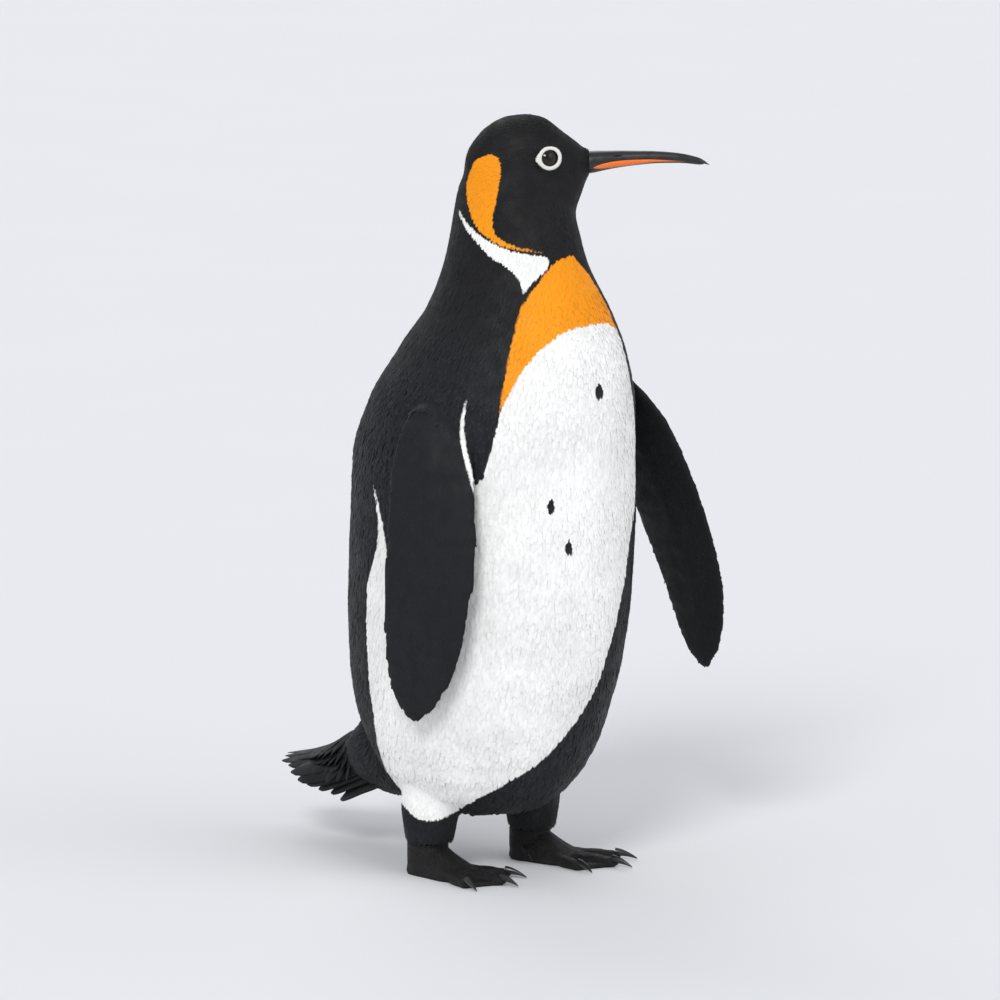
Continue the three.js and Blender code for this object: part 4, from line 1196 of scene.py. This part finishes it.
for region, feather, seed, slot in (
        ("back", LONG_FEATHER, 1, "plumage_back"),
        ("belly", LONG_FEATHER, 2, "plumage_white"),
        ("breast", LONG_FEATHER, 3, "plumage_gold"),
        ("mantle", LONG_FEATHER, 11, "plumage_black"),
        ("neck", LONG_FEATHER, 4, "plumage_black"),
        ("head", SHORT_FEATHER, 5, "plumage_black"),
        ("face", SHORT_FEATHER, 6, "plumage_black"),
        ("flipper_left", SHORT_FEATHER, 7, "plumage_back"),
        ("flipper_right", SHORT_FEATHER, 8, "plumage_back"),
        ("legs", SHORT_FEATHER, 9, "plumage_black"),
        ("rump", LONG_FEATHER, 10, "plumage_back")):
    feathered(region, feather, seed, slot)
for form in (LONG_FEATHER, SHORT_FEATHER):
    bpy.data.objects.remove(form)
for extra in ("lie", "size", "coat_marks", "region"):
    skin.data.attributes.remove(skin.data.attributes[extra])
handed_over(skin, "plumage_black", *FLESH)

# ---- tail feathers ----

# Each tier: feathers, arch in degrees, start and reach along the tail, lift, drop, half width, radii,
# and how far it rides over the rump.
TAIL_TIERS = (
    (12, 62, 0.22, 1.0, 6, 0, 11.5, 40, 56, None),
    (11, 60, 0.2, 0.93, 2, 7, 11.0, 40, 54, None),
    (10, 58, 0.18, 0.86, -3, 14, 11.0, 40, 52, None),
    (9, 54, 0.14, 0.77, -12, 19, 12.0, 41, 51, None),
    (8, 52, 0.1, 0.68, -22, 24, 12.5, 42, 50, None),
    (11, 62, 0.54, 0.9, 7, 1, 11.5, 44, 54, 0.2),
    (11, 66, 0.49, 0.81, 10, 2, 10.5, 45, 52, 0.4),
    (12, 70, 0.44, 0.72, 14, 3, 9.5, 46, 51, 0.6),
    (13, 74, 0.39, 0.63, 19, 4, 8.5, 48, 50, 0.8),
    (14, 78, 0.34, 0.54, 24, 4, 7.5, 50, 50, 1.0),
)
TAIL_VANE = {"stations": 15, "ring": 8, "thickness": 1.1, "taper": 0.7, "outer_loss": 0.26, "cup": 0.10}


def over_rump(along, across, up, t, over):
    """A feather's line pushed clear of the rump, by more towards its tip."""
    rump = smooth_rows(TAIL_CORE, np.clip(along[:, 0] / TAIL_LENGTH, 0, TAIL_CORE[-1, 0]))
    clear = ((over + 3) * smoothstep(0, 0.62, t[:, 0]) - 3)[:, None]
    reach = np.where(up > 0, rump[:, 2:3], rump[:, 3:4]) + clear
    share = np.minimum(np.hypot(across / (rump[:, 1:2] + clear), up / np.maximum(reach, 1.5)), 1)
    return across / share, up / share


def tail_vane(tier, place, random):
    """The rings of one tail feather, at a place between -1 and 1 across its tier."""
    _, arch, start, reach, lift, drop, half, base, tip, over = tier
    turn = math.radians(arch * place)
    stretch = 1 + 0.035 * random.uniform(-1, 1)
    skew = random.uniform(-1.5, 1.5)
    end = TAIL_LENGTH * reach * (1 - TAIL_VANE["outer_loss"] * place * place) * stretch
    t = np.linspace(0, 1, TAIL_VANE["stations"])[:, None]
    rounded = np.sqrt(np.clip(1 - ((t - 0.55) / 0.45).clip(0) ** 2.4, 0.02, 1))
    wide = half * np.minimum(1, 0.55 + 1.2 * t) * rounded
    radius = base + (tip - base) * t
    across = radius * math.sin(turn) + skew * t * t
    up = radius * (math.cos(turn) - 1) + lift * (1 - 0.5 * t) - drop * t * t + random.uniform(-0.5, 0.5)
    along = TAIL_LENGTH * start + (end - TAIL_LENGTH * start) * t
    if over is not None:
        across, up = over_rump(along, across, up, t, over)
    angle = circle(TAIL_VANE["ring"])
    rib = np.exp(-(np.cos(angle) / 0.22) ** 2) * np.maximum(np.sin(angle), 0) * 0.6
    side = wide * np.cos(angle)
    thick = TAIL_VANE["thickness"] * (1 - TAIL_VANE["taper"] * t)
    high = thick * (np.sin(angle) * 0.75 + rib) - TAIL_VANE["cup"] * side ** 2 / half
    return tail_points(along + 0 * side, across + side * math.cos(turn) + high * math.sin(turn),
                       up - side * math.sin(turn) + high * math.cos(turn)).reshape(-1, 3)


def tail_feathers():
    random = np.random.default_rng(7)
    rings, faces = [], []
    per_vane = TAIL_VANE["stations"] * TAIL_VANE["ring"]
    for tier in TAIL_TIERS:
        for place in 2 * np.arange(tier[0]) / (tier[0] - 1) - 1:
            faces += loft_faces(TAIL_VANE["stations"], TAIL_VANE["ring"], len(rings) * per_vane)
            rings.append(tail_vane(tier, place, random))
    total = len(rings)
    piece = mesh_object("tail_feathers", placed(np.vstack(rings)), faces, FEATHER_FINISH)
    data = piece.data
    along = np.repeat(np.linspace(0, 1, TAIL_VANE["stations"]), TAIL_VANE["ring"])
    across = np.tile(np.cos(circle(TAIL_VANE["ring"])), TAIL_VANE["stations"])
    vane = np.stack((across, along, np.zeros(per_vane)), axis=1)
    store(data, "vane", "FLOAT_VECTOR", "POINT", np.tile(vane, (total, 1)))
    store(data, "marks", "FLOAT_VECTOR", "POINT", np.tile((OUTSIDE, OUTSIDE, 0.55), (total * per_vane, 1)))
    store(data, "tint", "FLOAT", "POINT", np.repeat(random.uniform(0, 1, total), per_vane))
    # On the map each feather is a strip of its own.
    strips = ((np.arange(total) + 0.5)[:, None] + 0.42 * across) / total
    uv = np.stack((strips.ravel(), np.tile(0.02 + 0.96 * along, total)), axis=1)
    set_bake_map(data, uv[read(data.loops, "vertex_index", 1, np.int32)])
    handed_over(facing_out(piece, join=False), "plumage_back", "tail")


tail_feathers()

# ---- bill ----

BILL_ROOT = 59.0
# The lower half of the bill starts this far below the line of the gape.
GAPE = 0.3
NOSTRIL = {"x": 97.0, "reach": 6.0, "side": 0.93, "above": 4.6, "deep": 1.7, "high": 0.75}


def horn_material(name, base, worn, roughness, grain):
    made, n, shader = material(name, roughness, Coat_Weight=0.25, Coat_Roughness=0.2)
    place = n.here()
    stretched = n.wired("ShaderNodeVectorMath", {0: place, 1: (1.0, 1.0, 6.0)}, operation="MULTIPLY")
    streaks = n.noise(stretched, grain, 4.0)
    blotch = n.noise(place, grain * 0.25, 3.0)
    n.feed(shader["Base Color"], n.mix(n.between(streaks, 0.45, 0.75, 0.0, 0.6), base, worn))
    n.feed(shader["Roughness"], n.between(blotch, 0.3, 0.7, roughness - 0.08, roughness + 0.12))
    bump(n, shader, streaks, 0.25, 0.0003)
    return made


BILL_HORN = horn_material("bill_horn", (0.008, 0.008, 0.009, 1), (0.02, 0.019, 0.02, 1), 0.32, 260.0)
PLATE_HORN = horn_material("bill_plate_horn", (0.93, 0.175, 0.006, 1), (0.95, 0.235, 0.012, 1), 0.3, 220.0)
CLAW_HORN = horn_material("claw_horn", (0.007, 0.007, 0.008, 1), (0.022, 0.02, 0.018, 1), 0.35, 420.0)


def mandible(name, tip, upper):
    """One half of the bill: an oval above or below the line of the gape, tapering to its hooked tip."""
    places = BILL_ROOT + (tip - BILL_ROOT) * np.sin(np.linspace(0, 1, 44) * math.pi / 2)
    rows = smooth_rows(BILL, places)
    rounded = np.sqrt(np.clip(1 - ((places - tip + 7) / 7).clip(0) ** 2, 0.03, 1))
    wide = rows[:, 4] * rounded
    gape = rows[:, 1] - (0.0 if upper else GAPE)
    height = (rows[:, 2] if upper else -rows[:, 3]) * rounded
    arch = np.linspace(0, math.pi, 17)
    flat = np.linspace(1, -1, 11)[1:-1]
    across = np.concatenate((np.cos(arch), -flat))
    rise = np.concatenate((np.sin(arch), np.zeros(len(flat))))
    points = np.stack((np.repeat(places, len(across)), (wide[:, None] * across).ravel(),
                       (gape[:, None] + height[:, None] * rise).ravel()), axis=1)
    return facing_out(mesh_object(name, on_head(points), loft_faces(len(places), len(across)), BILL_HORN))


def nostril_cutter(side):
    """A small spindle that cuts the slit of one nostril."""
    row = smooth_rows(BILL, NOSTRIL["x"])[0]
    stations, count = 9, 12
    rings = []
    for share in np.linspace(-1, 1, stations):
        swell = math.sqrt(max(0.02, 1 - share * share))
        ahead = np.full(count, NOSTRIL["x"] + NOSTRIL["reach"] * share)
        out = side * row[4] * NOSTRIL["side"] + NOSTRIL["deep"] * swell * np.cos(circle(count))
        up = row[1] + NOSTRIL["above"] + NOSTRIL["high"] * swell * np.sin(circle(count))
        rings.append(np.stack((ahead, out, up), axis=1))
    return facing_out(mesh_object("nostril_cutter", on_head(np.vstack(rings)), loft_faces(stations, count)))


def bill_plate(name, side):
    """The coloured plate on the side of the lower mandible, a shell with rounded edges."""
    stations, turn = 40, np.linspace(-1, 1, 13)
    along = np.linspace(0, 1, stations)
    places = BILL_PLATE["start"] + (BILL_PLATE["end"] - BILL_PLATE["start"]) * along
    points = []
    for row, full in zip(smooth_rows(BILL, places), np.sin(math.pi * along ** 0.7)):
        gape, keel, wide = row[1] - GAPE, row[3], row[4]
        middle = 0.45 * keel
        reach = max(0.12, (0.45 * keel - 0.5) * full)
        below = middle + reach * turn
        out = wide * np.sqrt(1 - np.clip(below / keel, 0, 0.995) ** 2)
        proud = BILL_PLATE["lift"] * np.sqrt(np.clip(1 - turn ** 4, 0, 1)) * min(1.0, full * 3)
        ahead = np.full(len(turn), row[0])
        outer = np.stack((ahead, side * (out + proud), gape - below), axis=1)
        inner = np.stack((ahead, side * (out - BILL_PLATE["sink"]), gape - below), axis=1)
        points.append(np.vstack((outer, inner[::-1])))
    faces = loft_faces(stations, 2 * len(turn))
    piece = mesh_object(f"bill_plate_{name}_horn", on_head(np.vstack(points)), faces, PLATE_HORN)
    handed_over(facing_out(piece), "bill_plate", "bill_plate_" + name)


upper_bill = mandible("bill_upper_horn", BILL_TIPS["upper"], True)
lower_bill = mandible("bill_lower_horn", BILL_TIPS["lower"], False)
for side in SIDES.values():
    cutter = nostril_cutter(side)
    cut = upper_bill.modifiers.new("nostril", "BOOLEAN")
    cut.operation = "DIFFERENCE"
    cut.solver = "EXACT"
    cut.object = cutter
    upper_bill = flattened(upper_bill, "bill_upper_horn")
    bpy.data.objects.remove(cutter)
handed_over(smoothed_by_angle(upper_bill), "bill", "bill_upper")
handed_over(smoothed_by_angle(lower_bill), "bill", "bill_lower")
for name, side in SIDES.items():
    bill_plate(name, side)

# ---- eyes and lids ----


def eye_material():
    made, n, shader = material("eye_glass", 0.05, Coat_Weight=0.5, Coat_Roughness=0.02,
                               Specular_IOR_Level=0.15)
    out_along = n.attribute("gaze", "Fac")
    iris = n.between(out_along, 0.78, 0.84)
    pupil = n.between(out_along, 0.915, 0.93)
    fibres = n.noise(n.here(), 900.0, 3.0)
    brown = n.mix(fibres, (0.003, 0.0014, 0.0008, 1), (0.012, 0.005, 0.002, 1))
    colour = n.mix(iris, (0.003, 0.0025, 0.002, 1), brown)
    n.feed(shader["Base Color"], n.mix(pupil, colour, (0.001, 0.001, 0.001, 1)))
    return made


def lid_material():
    made, n, shader = material("lid_skin", 0.55)
    crinkle = n.noise(n.here(), 900.0, 3.0)
    n.feed(shader["Base Color"], n.mix(crinkle, (0.62, 0.6, 0.56, 1), (0.86, 0.85, 0.81, 1)))
    bump(n, shader, crinkle, 0.4, 0.0003)
    return made


EYE_GLASS = eye_material()
LID_SKIN = lid_material()
EYEBALL = {"radius": 13.5, "proud": 1.7, "bulge": 0.02}
# The lids' section: distance from the eye's middle and height over the cheek.
LID_SECTION = ((13.9, -0.9), (13.3, 0.45), (12.1, 1.15), (10.7, 1.15), (9.6, 0.55), (9.05, -0.6),
               (9.2, -3.0), (12.8, -2.8))
LID_SPOKES = 72
LID_CORNER = 2.8


def eyeball(name, side):
    """A ball whose front bulges a little, looking out square to the cheek."""
    form = CHEEKS[side]
    gaze = unit(np.array((-form[1], side * 1.0, -form[2] * 0.5)))
    top = cheek_height(form, 0, 0) + EYEBALL["proud"]
    middle = np.array((EYE["x"], side * top, EYE["z"])) - gaze * EYEBALL["radius"]
    ball = bmesh.new()
    bmesh.ops.create_uvsphere(ball, u_segments=48, v_segments=28, radius=EYEBALL["radius"])
    piece = mesh_object("eyeball_" + name, [], [])
    ball.to_mesh(piece.data)
    ball.free()
    local = coordinates(piece.data)
    along = unit(local) @ gaze
    bulge = 1 + EYEBALL["bulge"] * smoothstep(0.85, 1.0, along)[:, None]
    set_coordinates(piece.data, on_head(local * bulge + middle))
    store(piece.data, "gaze", "FLOAT", "POINT", along)
    piece.data.materials.append(EYE_GLASS)
    handed_over(shaded(piece), "eye", "eye_" + name)


def eyelids(name, side):
    """The ring of bare pale skin round the eye, drawn out to a small corner behind it."""
    points, faces = [], []
    for a in circle(LID_SPOKES):
        rear = max(0.0, -math.cos(a)) ** 14
        for radius, high in LID_SECTION:
            out = radius + LID_CORNER * rear * smoothstep(9.4, 13.5, radius)
            dx, dz = out * math.cos(a), out * math.sin(a)
            lift = high if radius < 13 or high > 0 else high - 0.3
            points.append((EYE["x"] + dx, side * (cheek_height(CHEEKS[side], dx, dz) + lift), EYE["z"] + dz))
    count = len(LID_SECTION)
    for i in range(LID_SPOKES):
        here, following = i * count, (i + 1) % LID_SPOKES * count
        for j in range(count):
            k = (j + 1) % count
            faces.append((here + j, here + k, following + k, following + j))
    piece = mesh_object("eyelids_" + name, on_head(np.array(points)), faces, LID_SKIN)
    handed_over(shaded(facing_out(piece)), "plumage_white")


for name, side in SIDES.items():
    eyeball(name, side)
    eyelids(name, side)

# ---- feet and claws ----


def foot_material():
    made, n, shader = material("foot_scales", 0.55, Specular_IOR_Level=0.24)
    place = n.here()
    cells = n.wired("ShaderNodeTexVoronoi", {"Scale": 330.0, "Vector": place}, "Distance",
                    feature="DISTANCE_TO_EDGE")
    scale_top = n.between(cells, 0.0, 0.16)
    dust = n.noise(place, 90.0, 3.0)
    base = n.mix(n.between(dust, 0.35, 0.7), (0.0055, 0.0055, 0.006, 1), (0.012, 0.012, 0.013, 1))
    n.feed(shader["Base Color"], n.mix(scale_top, (0.017, 0.0165, 0.0165, 1), base))
    n.feed(shader["Roughness"], n.between(dust, 0.3, 0.7, 0.5, 0.68))
    bump(n, shader, scale_top, 0.7, 0.0008)
    return made


FOOT_SCALES = foot_material()
# These three are in metres: the size of the feet's faces, the heel's roundness, and the height
# under which a sole is pressed flat on the floor.
FOOT_GRAIN = 0.0013
HEEL_RADIUS = 0.013
SOLE = 0.0009
# No claw comes nearer to the floor than this, and the hind claw is smaller by this share.
CLAW_CLEAR = 0.15
HIND_CLAW = 0.55
UPWARD = np.array((0, 0, 1.0))


def foot(side):
    """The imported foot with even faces, a rounded heel and a flat sole."""
    piece = remeshed(packed_mesh(f"foot_{side}"), FOOT_GRAIN, f"foot_{side}_skin")
    points = coordinates(piece.data)
    turn = math.radians(SIDES[side] * FEET[side]["splay"])
    behind = np.array((-math.sin(turn), math.cos(turn)))
    reach = points[:, :2] @ behind
    under = np.clip(HEEL_RADIUS - points[:, 2], 0, HEEL_RADIUS)
    round_off = HEEL_RADIUS - np.sqrt(HEEL_RADIUS ** 2 - under ** 2)
    over = np.maximum(reach - (reach.max() - round_off), 0)
    points[:, :2] -= over[:, None] * behind
    set_coordinates(piece.data, points)
    relaxed(piece.data, 12)
    points = coordinates(piece.data)
    points[:, 2] = np.where(points[:, 2] < SOLE, 0.0, points[:, 2])
    set_coordinates(piece.data, points)
    piece.data.materials.clear()
    piece.data.materials.append(FOOT_SCALES)
    handed_over(shaded(piece), "foot", f"foot_{side}")


def claw(name, tip, direction, size):
    """A claw with a ridge along its top, growing from the tip of a toe and curving down."""
    stations, count = 14, 16
    across = unit(np.array((-direction[1], direction[0], 0.0)))
    angle = circle(count)
    t = np.linspace(0, 1, stations)[:, None]
    radius = size * CLAW["radius"] * (1 - 0.84 * t ** 1.3)
    centre = tip + direction * (size * (-CLAW["root"] + (CLAW["length"] + CLAW["root"]) * t))
    centre = centre - UPWARD * (size * CLAW["drop"] * t * t)
    keel = 1 + 0.12 * np.maximum(0, np.sin(angle)) ** 4
    points = (centre[:, None, :] + across * (radius * 0.8 * np.cos(angle))[..., None]
              + UPWARD * (radius * np.sin(angle) * keel)[..., None])
    points[..., 2] = np.maximum(points[..., 2], CLAW_CLEAR)
    piece = mesh_object(name + "_horn", placed(points.reshape(-1, 3)), loft_faces(stations, count), CLAW_HORN)
    handed_over(smoothed_by_angle(facing_out(piece), 60), "claw", name)


def foot_claws(side):
    """The claws of the three front toes and of the hind toe."""
    sign, place = SIDES[side], FEET[side]
    origin = np.array((place["x"], place["y"], 0.0))
    turn = math.radians(-90 + sign * place["splay"])

    def turned(v):
        return np.array((v[0] * math.cos(turn) - v[1] * math.sin(turn),
                         v[0] * math.sin(turn) + v[1] * math.cos(turn), v[2]))

    for toe, angle, long, radius in TOES:
        aim = math.radians(angle)
        line = np.array((math.cos(aim), sign * math.sin(aim), 0.0))
        tip = line * long + np.array((0, 0, radius * 0.82))
        claw(f"claw_{toe}_{side}", origin + turned(tip), turned(line), 1.0)
    aim = math.radians(HIND_TOE["angle"])
    line = unit(np.array((math.cos(aim), sign * math.sin(aim), -0.28)))
    tip = np.array((HIND_TOE["x"], sign * HIND_TOE["side"], HIND_TOE["z"])) + line * HIND_TOE["length"]
    claw(f"claw_hind_{side}", origin + turned(tip), turned(line), HIND_CLAW)


for side in SIDES:
    foot(side)
    foot_claws(side)

# ---- floor, light and camera ----

FLOOR = {"radius": 60, "corners": 64, "height": -0.0004}


def floor_material():
    made, n, shader = material("floor_paint", 0.85)
    tone = n.noise(n.here(), 3.0, 2.0)
    n.feed(shader["Base Color"], n.mix(tone, (0.765, 0.77, 0.785, 1), (0.78, 0.785, 0.80, 1)))
    return made


def soft_light(name, azimuth, rise, strength, softness):
    data = bpy.data.lights.new(name, "SUN")
    data.energy = strength
    data.angle = math.radians(softness)
    lamp = linked(name, data)
    a, e = math.radians(azimuth), math.radians(rise)
    away = Vector((math.sin(a) * math.cos(e), -math.cos(a) * math.cos(e), math.sin(e)))
    lamp.location = away * 3
    lamp.rotation_mode = "QUATERNION"
    lamp.rotation_quaternion = away.to_track_quat("Z", "Y")


angle = circle(FLOOR["corners"])
rim = np.stack((FLOOR["radius"] * np.cos(angle), FLOOR["radius"] * np.sin(angle),
                np.full(len(angle), FLOOR["height"])), axis=1)
floor = mesh_object("floor", rim, [tuple(range(len(angle)))], floor_material(), False)

world = bpy.data.worlds.new("studio")
bpy.context.scene.world = world
world.use_nodes = True
sky = world.node_tree.nodes["Background"].inputs
sky["Color"].default_value = (0.93, 0.95, 1.0, 1)
sky["Strength"].default_value = 0.6
soft_light("key_light", -60, 37, 1.45, 18)
soft_light("fill_light", 15, 30, 0.5, 50)
soft_light("back_light", 150, 40, 0.6, 40)
bpy.context.scene.view_settings.view_transform = "Standard"

camera = linked("camera", bpy.data.cameras.new("camera"))
camera.data.sensor_width = 36.0
camera.data.lens = VIEW_LENS
aim = Vector(placed(VIEW_TARGET + VIEW_RIGHT * VIEW_AIM[0] + VIEW_UP * VIEW_AIM[1]))
camera.location = aim + Vector(TO_CAMERA) * (VIEW_DISTANCE * MM)
camera.rotation_mode = "QUATERNION"
camera.rotation_quaternion = Vector(TO_CAMERA).to_track_quat("Z", "Y")
camera.data.clip_end = 300.0
bpy.context.scene.camera = camera
